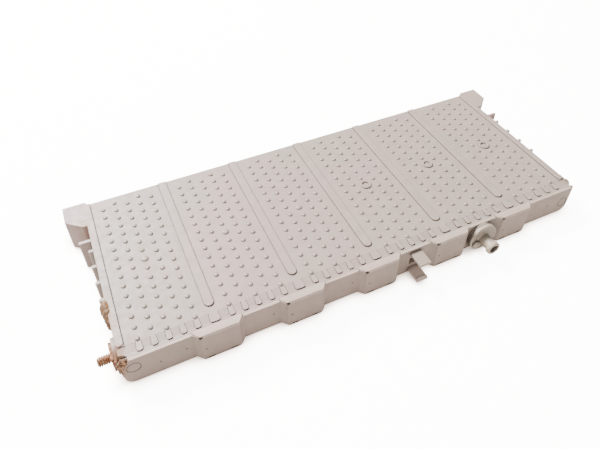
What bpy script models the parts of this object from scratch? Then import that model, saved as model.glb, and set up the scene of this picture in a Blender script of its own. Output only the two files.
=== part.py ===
"""Six-cell prismatic battery module: monobloc case, welded lid, safety vent, terminals and plate stacks.

The module lies on one broad face. +X runs along the row of cells, +Y from the lid to the mounting ears,
+Z up. The origin is on the floor, under the middle of the centre rib. All sizes are in metres.
"""

import math

import bmesh
import bpy
from mathutils import Matrix, Vector

MM = 0.001

# Cells and case.
CELL_COUNT = 6
CELL_PITCH = 43.36 * MM
PARTITION = 1.6 * MM
END_WALL = 2.22 * MM
FACE_WALL = 1.2 * MM
BOTTOM_WALL = 2.0 * MM
MODULE_HEIGHT = 104.2 * MM
BODY_THICKNESS = 18.2 * MM
RELIEF = 0.7 * MM
END_LOW_CORNER = 3.5 * MM
END_TOP_CORNER = 1.0 * MM
CLEARANCE = 0.3 * MM

# Raised shapes on both broad faces.
RIB_WIDTH = 4.6 * MM
RIB_SHORT_OF_LID = 11.6 * MM
BAND_WIDTH = 3.7 * MM
BAND_PROUD = 0.1 * MM
BAND_SHORT_OF_LID = 8.5 * MM
SPACER_OFFSET = 0.5 * MM
DOME_RADIUS = 1.9 * MM
RING_INNER = 2.05 * MM
RING_OUTER = 3.2 * MM

# End walls: mounting ears and stiffening ribs.
EAR_REACH = 11.0 * MM
EAR_PROUD = 2.0 * MM
EAR_STRAIGHT = 12.1 * MM
EAR_SLOPE = 7.0 * MM
EAR_FOOT = 2.5 * MM
END_RIB_THICKNESS = 1.4 * MM
LONG_RIB_REACH = 6.3 * MM
LONG_RIB_PLACE = 24.5 * MM
SHORT_RIB_REACH = 2.6 * MM
SHORT_RIB_FIRST = 16.9 * MM
SHORT_RIB_PITCH = 10.87 * MM
SHORT_RIB_COUNT = 4

# Lid.
LID_THICKNESS = 1.8 * MM
WELD_GAP = 0.3 * MM
BLOCK_WIDTH = 24.6 * MM
BLOCK_FRONT_WIDTH = 19.6 * MM
BLOCK_PROUD = 2.9 * MM
BLOCK_WALL = 2.1 * MM
BLOCK_TOP_CORNER = 1.0 * MM
BLOCK_LOW_CORNER = 3.0 * MM
BLOCK_EDGE = 0.6 * MM
NOTCH_SIZE = (3.0 * MM, 1.2 * MM, 0.8 * MM)
NOTCH_SPACING = 11.0 * MM

# Temperature sensor clip, on the fourth cell.
SENSOR_CELL = 3
TAB_WIDTH = 6.8 * MM
TAB_THICKNESS = 1.6 * MM
TAB_GAP = 10.9 * MM
TAB_REACH = 9.5 * MM
BARB = 0.7 * MM
WELL_WIDTH = 6.2 * MM
WELL_HEIGHT = 4.6 * MM
WELL_DEPTH = 4.6 * MM
WELL_WALL = 1.2 * MM

# Safety vent, on the fifth cell.
VENT_CELL = 4
VENT_BOSS_RADIUS = 9.0 * MM
VENT_BOSS_PROUD = 1.2 * MM
CHAMBER_RADIUS = 4.8 * MM
CHAMBER_WALL = 1.4 * MM
CHAMBER_DEPTH = 4.5 * MM
CHAMBER_FLOOR = 1.3 * MM
SEAT_HEIGHT = 0.5 * MM
SEAT_OUTER = 2.4 * MM
SEAT_HOLE = 1.3 * MM
FLANGE_RADIUS = 8.7 * MM
FLANGE_THICKNESS = 2.0 * MM
SPIGOT_WALL = 0.5 * MM
SPIGOT_LENGTH = 1.3 * MM
NOZZLE_LENGTH = 9.0 * MM
NOZZLE_RADIUS = 3.1 * MM
NOZZLE_BORE = 2.4 * MM
LIP_RADIUS = 3.7 * MM
LIP_LENGTH = 2.4 * MM
FLANGE_KNOB_RADIUS = 2.6 * MM
FLANGE_KNOB_PROUD = 0.9 * MM
FLANGE_KNOB_PLACE = (5.2 * MM, math.radians(221))
VALVE_RADIUS = 3.5 * MM
VALVE_WAIST = 2.9 * MM
VALVE_LIFT = 0.8 * MM
VALVE_POCKET = 1.4 * MM

# Terminals and cell connectors, all on one line near the lid.
TERMINAL_BELOW_LID = 10.6 * MM
STUD_RADIUS = 2.5 * MM
STUD_HEAD_RADIUS = 4.5 * MM
STUD_HEAD_THICKNESS = 1.0 * MM
STUD_REACH = 6.3 * MM
THREAD_PITCH = 0.8 * MM
THREAD_DEPTH = 0.45 * MM
BOSS_RADIUS = 8.4 * MM
BOSS_PROUD = 1.9 * MM
SEAL_SECTION = 0.9 * MM
WASHER_SIDE = 10.6 * MM
WASHER_THICKNESS = 1.2 * MM
RIVET_RADIUS = 2.0 * MM
RIVET_HEAD_RADIUS = 4.2 * MM
RIVET_HEAD_THICKNESS = 1.0 * MM
GROMMET_WALL = 0.8 * MM

# Threaded inserts in the ears.
INSERT_RADIUS = 3.4 * MM
INSERT_LENGTH = 9.0 * MM
INSERT_BORE = 2.1 * MM
INSERT_BORE_DEPTH = 8.0 * MM

# Plate stack of one cell.
PLATE_THICKNESS = 0.8 * MM
SEPARATOR_THICKNESS = 0.4 * MM
COLLECTOR_THICKNESS = 0.6 * MM
FOLD_ROOM = 1.6 * MM
PLATE_BELOW_LID = 7.3 * MM
PLATE_ABOVE_BOTTOM = 1.1 * MM
SEPARATOR_OVERHANG = 0.6 * MM

# Worked out from the values above.
HALF_CELL = (CELL_PITCH - PARTITION) / 2
BODY_HALF = CELL_COUNT * CELL_PITCH / 2 - PARTITION / 2 + END_WALL
BAND_HALF = BODY_HALF + BAND_PROUD
FAR_EDGE = MODULE_HEIGHT / 2
LID_FACE = -MODULE_HEIGHT / 2
LID_BACK = LID_FACE + LID_THICKNESS
CASE_RIM = LID_BACK + WELD_GAP
FACE_LOW = RELIEF
FACE_HIGH = RELIEF + BODY_THICKNESS
MODULE_TOP = 2 * RELIEF + BODY_THICKNESS
MID_HEIGHT = MODULE_TOP / 2
TERMINAL_Y = LID_FACE + TERMINAL_BELOW_LID
SINK = FACE_WALL / 2
ROUND_STEPS = 24
SHARP_ANGLE = math.radians(35)

CELL_CENTRES = [(index - (CELL_COUNT - 1) / 2) * CELL_PITCH for index in range(CELL_COUNT)]
PARTITIONS = [(index - CELL_COUNT / 2) * CELL_PITCH for index in range(1, CELL_COUNT)]

# How an outline's (u, v) and its distance w along the axis map to X, Y and Z.
PLACES = {
    "X": lambda u, v, w: Vector((w, u, v)),
    "Y": lambda u, v, w: Vector((u, w, v)),
    "Z": lambda u, v, w: Vector((u, v, w)),
}


# Shapes ---------------------------------------------------------------------------------------------------


def add_box(bm, low, high):
    """Adds a box between two corners."""
    low, high = Vector(low), Vector(high)
    scale = Matrix.Diagonal((*(high - low), 1))
    bmesh.ops.create_cube(bm, size=1, matrix=Matrix.Translation((low + high) / 2) @ scale)


def push_face(bm, face, vector):
    """Extrudes a face along a vector and gives the face at the new end."""
    pushed = bmesh.ops.extrude_face_region(bm, geom=[face])["geom"]
    moved = [item for item in pushed if isinstance(item, bmesh.types.BMVert)]
    bmesh.ops.translate(bm, verts=moved, vec=vector)
    return next(item for item in pushed if isinstance(item, bmesh.types.BMFace))


def add_prism(bm, outline, start, end, axis):
    """Adds a prism, an outline pushed from start to end along an axis, and gives its end face."""
    place = PLACES[axis]
    face = bm.faces.new([bm.verts.new(place(u, v, start)) for u, v in outline])
    return push_face(bm, face, place(0, 0, end - start))


def add_turned(bm, profile, centre, axis, steps=ROUND_STEPS, closed=False):
    """Adds a turned solid from (radius, distance) points. A closed profile makes a ring."""
    axis = Vector(axis)
    centre = Vector(centre)
    side = Vector((0, 0, 1)) if abs(axis.z) < 0.5 else Vector((1, 0, 0))
    points = [bm.verts.new(centre + side * radius + axis * distance) for radius, distance in profile]
    pairs = list(zip(points, points[1:]))
    if closed:
        pairs.append((points[-1], points[0]))
    edges = [bm.edges.new(pair) for pair in pairs]
    bmesh.ops.spin(
        bm,
        geom=points + edges,
        cent=centre,
        axis=axis,
        dvec=(0, 0, 0),
        angle=2 * math.pi,
        steps=steps,
        use_merge=True,
        use_duplicate=False,
    )
    bmesh.ops.remove_doubles(bm, verts=bm.verts, dist=0.001 * MM)


def add_cylinder(bm, radius, centre, axis, start, end):
    """Adds a plain cylinder along an axis, from start to end."""
    profile = [(0, start), (radius, start), (radius, end), (0, end)]
    add_turned(bm, profile, centre, axis)


def rounded_outline(low, high, low_radius, high_radius, segments=4):
    """The points of a rectangle with round corners, the lower two and the upper two of their own radius."""
    corners = [
        ((low[0], low[1]), low_radius, 180),
        ((high[0], low[1]), low_radius, 270),
        ((high[0], high[1]), high_radius, 0),
        ((low[0], high[1]), high_radius, 90),
    ]
    middle = ((low[0] + high[0]) / 2, (low[1] + high[1]) / 2)
    points = []
    for corner, radius, first in corners:
        centre = [c + math.copysign(radius, m - c) for c, m in zip(corner, middle)]
        for step in range(segments + 1):
            angle = math.radians(first + 90 * step / segments)
            points.append((centre[0] + radius * math.cos(angle), centre[1] + radius * math.sin(angle)))
    return points


def slot_outline(x, width, near, far, segments=8):
    """The outline of a rib that is square at its far end and half round at its near end."""
    radius = width / 2
    points = [(x + radius, far), (x - radius, far)]
    for step in range(segments + 1):
        angle = math.pi + math.pi * step / segments
        points.append((x + radius * math.cos(angle), near + radius + radius * math.sin(angle)))
    return points


def ribbon_outline(path, thickness):
    """The outline of a sheet of one thickness that follows a path of right-angled turns."""
    half = thickness / 2
    directions = [(b - a).normalized() for a, b in zip(path, path[1:])]
    sides = {1: [], -1: []}
    for index, point in enumerate(path):
        before = directions[max(index - 1, 0)]
        after = directions[min(index, len(directions) - 1)]
        for side in sides:
            normals = [Vector((-way.y, way.x)) * side for way in (before, after)]
            offset = normals[0] if before == after else normals[0] + normals[1]
            sides[side].append(point + offset * half)
    return sides[1] + sides[-1][::-1]


# Objects --------------------------------------------------------------------------------------------------


def clear_scene():
    """Removes every object of the start-up scene."""
    for obj in list(bpy.data.objects):
        bpy.data.objects.remove(obj, do_unlink=True)


def make_material(name, colour, roughness, metallic=0.0):
    """A plain finish in one colour."""
    material = bpy.data.materials.new(name)
    material.use_nodes = True
    shader = material.node_tree.nodes["Principled BSDF"]
    shader.inputs["Base Color"].default_value = (*colour, 1)
    shader.inputs["Roughness"].default_value = roughness
    shader.inputs["Metallic"].default_value = metallic
    material.diffuse_color = (*colour, 1)
    return material


def make_object(name, bm, material=None):
    """Turns a bmesh into an object. One with no material is a helper that only shapes another."""
    bmesh.ops.recalc_face_normals(bm, faces=bm.faces)
    mesh = bpy.data.meshes.new(name)
    bm.to_mesh(mesh)
    bm.free()
    mesh.shade_smooth()
    mesh.set_sharp_from_angle(angle=SHARP_ANGLE)
    obj = bpy.data.objects.new(name, mesh)
    bpy.context.scene.collection.objects.link(obj)
    if material:
        mesh.materials.append(material)
    else:
        obj.hide_render = True
        obj.display_type = "WIRE"
    return obj


def combine(target, helper, operation):
    """Joins a helper's shape to the target, or cuts it away."""
    modifier = target.modifiers.new(helper.name, "BOOLEAN")
    modifier.operation = operation
    modifier.solver = "EXACT"
    modifier.object = helper
    helper.parent = target


# Case -----------------------------------------------------------------------------------------------------


def body_outline():
    """The outline of the case and of the lid, seen along Y."""
    low = (-BODY_HALF, FACE_LOW)
    high = (BODY_HALF, FACE_HIGH)
    return rounded_outline(low, high, END_LOW_CORNER, END_TOP_CORNER)


def broad_faces():
    """For each broad face, where a raised shape starts inside the wall and where it ends."""
    return [(FACE_HIGH - SINK, MODULE_TOP, 1), (FACE_LOW + SINK, 0, -1)]


def case_ribs():
    """The rounded ribs over the partitions, on both broad faces."""
    bm = bmesh.new()
    near = LID_FACE + RIB_SHORT_OF_LID
    for start, end, _ in broad_faces():
        for x in PARTITIONS:
            add_prism(bm, slot_outline(x, RIB_WIDTH, near, FAR_EDGE), start, end, "Z")
    return make_object("case_ribs", bm)


def case_spacers():
    """Domes on the first half of the cells and rings on the other half, which locate the next module."""
    bm = bmesh.new()
    for start, end, up in broad_faces():
        height = abs(end - start)
        axis = (0, 0, up)
        for x in CELL_CENTRES:
            centre = (x, SPACER_OFFSET, start)
            if x < 0:
                crown = DOME_RADIUS * 0.6
                profile = [(0, 0), (DOME_RADIUS, 0), (DOME_RADIUS, height - RELIEF * 0.6)]
                profile += [(crown, height - RELIEF * 0.08), (0, height)]
                add_turned(bm, profile, centre, axis, steps=16)
            else:
                profile = [(RING_INNER, 0), (RING_OUTER, 0), (RING_OUTER, height), (RING_INNER, height)]
                add_turned(bm, profile, centre, axis, closed=True)
    return make_object("case_spacers", bm)


def case_bands():
    """The raised bands that run along both ends."""
    bm = bmesh.new()
    near = LID_FACE + BAND_SHORT_OF_LID
    for side in (-1, 1):
        inner, outer = sorted((side * (BAND_HALF - BAND_WIDTH), side * BAND_HALF))
        add_box(bm, (inner, near, 0), (outer, FAR_EDGE, MODULE_TOP))
    return make_object("case_bands", bm)


def case_ears():
    """The two ears that hold the module's bolts, at the far corners."""
    bm = bmesh.new()
    inner = BODY_HALF - END_WALL / 2
    outer = BODY_HALF + EAR_REACH
    top = FAR_EDGE + EAR_PROUD
    corner = top - EAR_STRAIGHT
    for side in (-1, 1):
        outline = [
            (inner - EAR_PROUD, FAR_EDGE - BOTTOM_WALL / 2),
            (inner, top),
            (outer, top),
            (outer, corner),
            (BODY_HALF + EAR_FOOT, corner - EAR_SLOPE),
            (inner, corner - EAR_SLOPE),
            (inner, FAR_EDGE - BOTTOM_WALL / 2),
        ]
        add_prism(bm, [(side * x, y) for x, y in outline], 0, MODULE_TOP, "Z")
    return make_object("case_ears", bm)


def case_end_ribs():
    """The ribs that stand across both end walls."""
    bm = bmesh.new()
    ribs = [(LONG_RIB_PLACE, LONG_RIB_REACH)]
    for index in range(SHORT_RIB_COUNT):
        ribs.append((SHORT_RIB_FIRST - index * SHORT_RIB_PITCH, SHORT_RIB_REACH))
    for side in (-1, 1):
        for y, reach in ribs:
            inner, outer = sorted((side * (BODY_HALF - END_WALL / 2), side * (BODY_HALF + reach)))
            low = (inner, y - END_RIB_THICKNESS / 2, FACE_LOW)
            add_box(bm, low, (outer, y + END_RIB_THICKNESS / 2, FACE_HIGH))
    return make_object("case_end_ribs", bm)


def case_bosses():
    """The round bosses that carry the terminals' seals."""
    bm = bmesh.new()
    for side in (-1, 1):
        centre = (0, TERMINAL_Y, MID_HEIGHT)
        start = BODY_HALF - END_WALL / 2
        add_cylinder(bm, BOSS_RADIUS, centre, (side, 0, 0), start, BODY_HALF + BOSS_PROUD)
    return make_object("case_bosses", bm)


def case_compartments():
    """The six cell spaces, open towards the lid."""
    bm = bmesh.new()
    for x in CELL_CENTRES:
        low = (x - HALF_CELL, CASE_RIM - BOTTOM_WALL, FACE_LOW + FACE_WALL)
        add_box(bm, low, (x + HALF_CELL, FAR_EDGE - BOTTOM_WALL, FACE_HIGH - FACE_WALL))
    return make_object("case_compartments", bm)


def case_partition_holes():
    """The holes for the cell connectors and their rubber rings."""
    bm = bmesh.new()
    radius = RIVET_RADIUS + CLEARANCE + GROMMET_WALL + CLEARANCE
    for x in PARTITIONS:
        centre = (x, TERMINAL_Y, MID_HEIGHT)
        add_cylinder(bm, radius, centre, (1, 0, 0), -PARTITION, PARTITION)
    return make_object("case_partition_holes", bm)


def seal_pocket():
    """How far out the terminal's seal pocket starts, its radius, and where the boss ends."""
    face = BODY_HALF + BOSS_PROUD
    depth = 2 * SEAL_SECTION + CLEARANCE
    radius = STUD_RADIUS + CLEARANCE + 2 * SEAL_SECTION + CLEARANCE
    return face - depth, radius, face


def case_terminal_holes():
    """The stepped holes through the end walls for a stud and its seal."""
    bm = bmesh.new()
    floor, radius, face = seal_pocket()
    inside = BODY_HALF - END_WALL - PARTITION
    hole = STUD_RADIUS + CLEARANCE
    for side in (-1, 1):
        profile = [(0, inside), (hole, inside), (hole, floor), (radius, floor)]
        profile += [(radius, face + CLEARANCE), (0, face + CLEARANCE)]
        add_turned(bm, profile, (0, TERMINAL_Y, MID_HEIGHT), (side, 0, 0))
    return make_object("case_terminal_holes", bm)


def insert_place(side):
    """The middle of an ear's bolt face."""
    return Vector((side * (BODY_HALF + EAR_REACH / 2), FAR_EDGE + EAR_PROUD, MID_HEIGHT))


def case_insert_holes():
    """The pockets for the threaded inserts."""
    bm = bmesh.new()
    for side in (-1, 1):
        radius = INSERT_RADIUS + CLEARANCE
        depth = INSERT_LENGTH + CLEARANCE
        add_cylinder(bm, radius, insert_place(side), (0, 1, 0), -depth, CLEARANCE)
    return make_object("case_insert_holes", bm)


def make_case(material):
    """The monobloc: a box of six cells with its ribs, bands, ears and bosses."""
    bm = bmesh.new()
    add_prism(bm, body_outline(), CASE_RIM, FAR_EDGE, "Y")
    case = make_object("case", bm, material)
    for helper in (case_bands(), case_ribs(), case_spacers(), case_ears(), case_end_ribs(), case_bosses()):
        combine(case, helper, "UNION")
    for helper in (case_compartments(), case_partition_holes(), case_terminal_holes(), case_insert_holes()):
        combine(case, helper, "DIFFERENCE")
    return case


# Lid ------------------------------------------------------------------------------------------------------


def lid_blocks():
    """The five raised blocks over the partitions, with slanted sides and rounded front edges."""
    bm = bmesh.new()
    root = LID_BACK - LID_THICKNESS / 4
    taper = BLOCK_FRONT_WIDTH / BLOCK_WIDTH
    for x in PARTITIONS:
        low = (x - BLOCK_WIDTH / 2, 0)
        high = (x + BLOCK_WIDTH / 2, MODULE_TOP)
        outline = rounded_outline(low, high, BLOCK_LOW_CORNER, BLOCK_TOP_CORNER)
        foot = add_prism(bm, outline, root, LID_FACE, "Y")
        face = push_face(bm, foot, (0, -BLOCK_PROUD, 0))
        bm.faces.remove(foot)
        for vert in face.verts:
            vert.co.x = x + (vert.co.x - x) * taper
        bmesh.ops.bevel(
            bm,
            geom=list(face.edges),
            offset=BLOCK_EDGE,
            offset_type="OFFSET",
            segments=2,
            profile=0.5,
            affect="EDGES",
            material=-1,
            clamp_overlap=True,
        )
    return make_object("lid_blocks", bm)


def lid_gas_passages():
    """The hollows behind the blocks, which let gas pass from cell to cell."""
    bm = bmesh.new()
    half = BLOCK_FRONT_WIDTH / 2 - BLOCK_WALL / 2
    for x in PARTITIONS:
        low = (x - half, LID_FACE - BLOCK_PROUD + BLOCK_WALL, FACE_LOW + BLOCK_WALL)
        add_box(bm, low, (x + half, LID_BACK + WELD_GAP, FACE_HIGH - BLOCK_WALL))
    return make_object("lid_gas_passages", bm)


def lid_notches():
    """The small notches along the lower front edges of the blocks."""
    bm = bmesh.new()
    width, depth, height = NOTCH_SIZE
    front = LID_FACE - BLOCK_PROUD
    for x in PARTITIONS:
        for side in (-1, 1):
            middle = x + side * NOTCH_SPACING / 2
            low = (middle - width / 2, front - CLEARANCE, -CLEARANCE)
            add_box(bm, low, (middle + width / 2, front + BLOCK_EDGE + depth, height))
    return make_object("lid_notches", bm)


def vent_centre():
    """A point on the vent's axis at Y = 0. Distances along the vent run towards -Y from here."""
    return Vector((CELL_CENTRES[VENT_CELL], 0, MID_HEIGHT))


def chamber_levels():
    """Distances along the vent of the chamber's floor and of its mouth."""
    mouth = -LID_FACE + VENT_BOSS_PROUD
    return -LID_FACE - CHAMBER_DEPTH, mouth


def lid_vent_boss():
    """The round boss that the vent's flange is welded to, and the cup inside the lid."""
    bm = bmesh.new()
    floor, mouth = chamber_levels()
    middle = -LID_FACE - LID_THICKNESS / 2
    cup = CHAMBER_RADIUS + CHAMBER_WALL
    profile = [(0, floor - CHAMBER_FLOOR), (cup, floor - CHAMBER_FLOOR), (cup, middle)]
    profile += [(VENT_BOSS_RADIUS, middle), (VENT_BOSS_RADIUS, mouth), (0, mouth)]
    add_turned(bm, profile, vent_centre(), (0, -1, 0), steps=32)
    return make_object("lid_vent_boss", bm)


def lid_chamber():
    """The valve chamber's hollow, with the raised seat left standing round the gas hole."""
    bm = bmesh.new()
    floor, mouth = chamber_levels()
    profile = [(0, mouth + CLEARANCE), (CHAMBER_RADIUS, mouth + CLEARANCE), (CHAMBER_RADIUS, floor)]
    profile += [(SEAT_OUTER, floor), (SEAT_OUTER, floor + SEAT_HEIGHT), (SEAT_HOLE, floor + SEAT_HEIGHT)]
    profile += [(SEAT_HOLE, floor - 2 * CHAMBER_FLOOR), (0, floor - 2 * CHAMBER_FLOOR)]
    add_turned(bm, profile, vent_centre(), (0, -1, 0))
    return make_object("lid_chamber", bm)


def lid_sensor_sleeve():
    """The sleeve inside the lid round the sensor's well."""
    bm = bmesh.new()
    x = CELL_CENTRES[SENSOR_CELL]
    half_width = WELL_WIDTH / 2 + WELL_WALL
    half_height = WELL_HEIGHT / 2 + WELL_WALL
    low = (x - half_width, LID_BACK - LID_THICKNESS / 2, MID_HEIGHT - half_height)
    add_box(bm, low, (x + half_width, LID_FACE + WELL_DEPTH + WELL_WALL, MID_HEIGHT + half_height))
    return make_object("lid_sensor_sleeve", bm)


def lid_sensor_well():
    """The hollow that the temperature sensor's tip goes into."""
    bm = bmesh.new()
    x = CELL_CENTRES[SENSOR_CELL]
    low = (x - WELL_WIDTH / 2, LID_FACE - CLEARANCE, MID_HEIGHT - WELL_HEIGHT / 2)
    add_box(bm, low, (x + WELL_WIDTH / 2, LID_FACE + WELL_DEPTH, MID_HEIGHT + WELL_HEIGHT / 2))
    return make_object("lid_sensor_well", bm)


def lid_sensor_tabs():
    """The two barbed tabs that the sensor snaps between."""
    bm = bmesh.new()
    x = CELL_CENTRES[SENSOR_CELL]
    root = LID_FACE + LID_THICKNESS / 2
    end = LID_FACE - TAB_REACH
    inner = TAB_GAP / 2
    outer = inner + TAB_THICKNESS
    for side in (-1, 1):
        outline = [
            (root, inner),
            (end + 2.5 * BARB, inner),
            (end + 2 * BARB, inner - BARB),
            (end, inner + BARB / 2),
            (end, outer),
            (root, outer),
        ]
        placed = [(y, MID_HEIGHT + side * z) for y, z in outline]
        add_prism(bm, placed, x - TAB_WIDTH / 2, x + TAB_WIDTH / 2, "X")
    return make_object("lid_sensor_tabs", bm)


def make_lid(material):
    """The lid that closes the cells, welded to the rim of the case."""
    bm = bmesh.new()
    add_prism(bm, body_outline(), LID_FACE, LID_BACK, "Y")
    lid = make_object("lid", bm, material)
    for helper in (lid_blocks(), lid_vent_boss(), lid_sensor_sleeve(), lid_sensor_tabs()):
        combine(lid, helper, "UNION")
    for helper in (lid_gas_passages(), lid_chamber(), lid_sensor_well(), lid_notches()):
        combine(lid, helper, "DIFFERENCE")
    return lid


# Vent -----------------------------------------------------------------------------------------------------


def make_vent_nozzle(material):
    """The vent's flange with its hose nozzle, over the valve chamber."""
    bm = bmesh.new()
    _, mouth = chamber_levels()
    back = mouth + CLEARANCE
    front = back + FLANGE_THICKNESS
    end = front + NOZZLE_LENGTH
    chamfer = 0.2 * FLANGE_THICKNESS
    spigot = CHAMBER_RADIUS - CLEARANCE
    lip = end - LIP_LENGTH
    lip_edge = LIP_RADIUS - NOZZLE_RADIUS
    profile = [
        (NOZZLE_BORE, back),
        (spigot - SPIGOT_WALL, back),
        (spigot - SPIGOT_WALL, back - SPIGOT_LENGTH),
        (spigot, back - SPIGOT_LENGTH),
        (spigot, back),
        (FLANGE_RADIUS, back),
        (FLANGE_RADIUS, front - chamfer),
        (FLANGE_RADIUS - chamfer, front),
        (NOZZLE_RADIUS + lip_edge, front),
        (NOZZLE_RADIUS, front + lip_edge),
        (NOZZLE_RADIUS, lip - lip_edge),
        (LIP_RADIUS, lip),
        (LIP_RADIUS, end - lip_edge),
        (LIP_RADIUS - lip_edge / 2, end),
        (NOZZLE_BORE, end),
    ]
    add_turned(bm, profile, vent_centre(), (0, -1, 0), steps=32, closed=True)
    nozzle = make_object("vent_nozzle", bm, material)
    knob = bmesh.new()
    radius, angle = FLANGE_KNOB_PLACE
    centre = vent_centre() + Vector((radius * math.cos(angle), 0, radius * math.sin(angle)))
    add_cylinder(knob, FLANGE_KNOB_RADIUS, centre, (0, -1, 0), front - chamfer, front + FLANGE_KNOB_PROUD)
    combine(nozzle, make_object("vent_knob", knob), "UNION")
    return nozzle


def make_safety_valve(material):
    """The rubber plug that rests on the seat and lifts when the pressure inside is too high."""
    bm = bmesh.new()
    floor, mouth = chamber_levels()
    low = floor + SEAT_HEIGHT + CLEARANCE
    high = mouth - VALVE_LIFT
    rim = (high - low) / 5
    pocket = (low + high) / 2
    edge = VALVE_RADIUS - VALVE_WAIST
    profile = [
        (0, low),
        (VALVE_WAIST, low),
        (VALVE_RADIUS, low + edge),
        (VALVE_RADIUS, low + edge + rim),
        (VALVE_WAIST, low + 2 * edge + rim),
        (VALVE_WAIST, high - edge - rim),
        (VALVE_RADIUS, high - rim),
        (VALVE_RADIUS, high),
        (VALVE_POCKET, high),
        (VALVE_POCKET, pocket),
        (0, pocket),
    ]
    add_turned(bm, profile, (0, 0, 0), (0, -1, 0))
    valve = make_object("safety_valve", bm, material)
    valve.location = vent_centre()
    return valve


# Terminals, connectors and inserts ------------------------------------------------------------------------


def stud_profile():
    """The stud's profile from the middle of its head, inside the case, to its threaded end."""
    inner_wall = BODY_HALF - END_WALL
    head = inner_wall - CLEARANCE - STUD_HEAD_THICKNESS
    washer_face = BODY_HALF + BOSS_PROUD + CLEARANCE + WASHER_THICKNESS
    end = washer_face + STUD_REACH
    root = STUD_RADIUS - THREAD_DEPTH
    profile = [(0, head), (STUD_HEAD_RADIUS, head), (STUD_HEAD_RADIUS, inner_wall - CLEARANCE)]
    profile += [(STUD_RADIUS, inner_wall - CLEARANCE), (STUD_RADIUS, washer_face)]
    turns = int((end - washer_face) / THREAD_PITCH)
    for turn in range(turns):
        start = washer_face + turn * THREAD_PITCH
        profile += [(root, start + 0.4 * THREAD_PITCH), (STUD_RADIUS, start + 0.9 * THREAD_PITCH)]
    profile += [(root, end), (0, end)]
    return profile


def make_terminal(side, word, metal, washer_metal, rubber):
    """A stud through the end wall, the rubber ring round it and the square washer outside."""
    axis = (side, 0, 0)
    place = (0, TERMINAL_Y, MID_HEIGHT)
    bm = bmesh.new()
    add_turned(bm, stud_profile(), place, axis)
    make_object("terminal_stud_" + word, bm, metal)

    floor, _, face = seal_pocket()
    bm = bmesh.new()
    middle = floor + CLEARANCE / 2 + SEAL_SECTION
    major = STUD_RADIUS + CLEARANCE + SEAL_SECTION
    section = []
    for step in range(8):
        angle = 2 * math.pi * step / 8
        section.append((major + SEAL_SECTION * math.cos(angle), middle + SEAL_SECTION * math.sin(angle)))
    add_turned(bm, section, place, axis, closed=True)
    make_object("terminal_seal_" + word, bm, rubber)

    bm = bmesh.new()
    half = WASHER_SIDE / 2
    near = face + CLEARANCE
    start, end = sorted((side * near, side * (near + WASHER_THICKNESS)))
    low = (start, TERMINAL_Y - half, MID_HEIGHT - half)
    add_box(bm, low, (end, TERMINAL_Y + half, MID_HEIGHT + half))
    washer = make_object("terminal_washer_" + word, bm, washer_metal)
    hole = bmesh.new()
    radius = STUD_RADIUS + CLEARANCE
    add_cylinder(hole, radius, place, axis, near - CLEARANCE, near + WASHER_THICKNESS + CLEARANCE)
    combine(washer, make_object("terminal_washer_hole_" + word, hole), "DIFFERENCE")


def make_connectors(metal, rubber):
    """The rivets that join neighbouring cells through the partitions, and their rubber rings."""
    reach = PARTITION / 2 + CLEARANCE
    end = reach + RIVET_HEAD_THICKNESS
    rivet = [(0, -end), (RIVET_HEAD_RADIUS, -end), (RIVET_HEAD_RADIUS, -reach), (RIVET_RADIUS, -reach)]
    rivet += [(radius, -distance) for radius, distance in reversed(rivet)]
    inner = RIVET_RADIUS + CLEARANCE
    outer = inner + GROMMET_WALL
    ring = [(inner, -PARTITION / 2), (outer, -PARTITION / 2), (outer, PARTITION / 2), (inner, PARTITION / 2)]
    for number, x in enumerate(PARTITIONS, start=1):
        place = (x, TERMINAL_Y, MID_HEIGHT)
        bm = bmesh.new()
        add_turned(bm, rivet, place, (1, 0, 0))
        make_object(f"cell_connector_{number}", bm, metal)
        bm = bmesh.new()
        add_turned(bm, ring, place, (1, 0, 0), closed=True)
        make_object(f"connector_seal_{number}", bm, rubber)


def make_insert(side, word, material):
    """A blind sleeve with the bolt's bore, pressed into its ear."""
    bm = bmesh.new()
    profile = [(0, -INSERT_LENGTH), (INSERT_RADIUS, -INSERT_LENGTH), (INSERT_RADIUS, 0), (INSERT_BORE, 0)]
    profile += [(INSERT_BORE, -INSERT_BORE_DEPTH), (0, -INSERT_BORE_DEPTH)]
    add_turned(bm, profile, insert_place(side), (0, 1, 0), steps=12)
    make_object("mounting_insert_" + word, bm, material)


# Plate stacks ---------------------------------------------------------------------------------------------


def plate_levels():
    """The heights of the plates' middles. There are as many plates as the cell has room for."""
    step = PLATE_THICKNESS + SEPARATOR_THICKNESS + 2 * CLEARANCE
    room = BODY_THICKNESS - 2 * FACE_WALL - 2 * CLEARANCE - PLATE_THICKNESS
    gaps = int(room / step + 0.001)
    return [MID_HEIGHT + (index - gaps / 2) * step for index in range(gaps + 1)]


def stack_half_width():
    """How far the collectors' outer faces stand from the cell's middle."""
    return HALF_CELL - RIVET_HEAD_THICKNESS - 2 * CLEARANCE


def comb_outline(centre, side, levels):
    """A collector strip on one side of the cell with a plate at each level, seen along Y."""
    outer = stack_half_width()
    inner = outer - COLLECTOR_THICKNESS
    free = -(inner - FOLD_ROOM)
    half = PLATE_THICKNESS / 2
    every_level = plate_levels()
    outline = [(inner, every_level[-1] + half), (outer, every_level[-1] + half)]
    outline += [(outer, every_level[0] - half), (inner, every_level[0] - half)]
    for level in levels:
        tooth = [(inner, level - half), (free, level - half), (free, level + half), (inner, level + half)]
        outline += [point for point in tooth if point not in outline]
    return [(centre + side * x, z) for x, z in outline]


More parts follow.
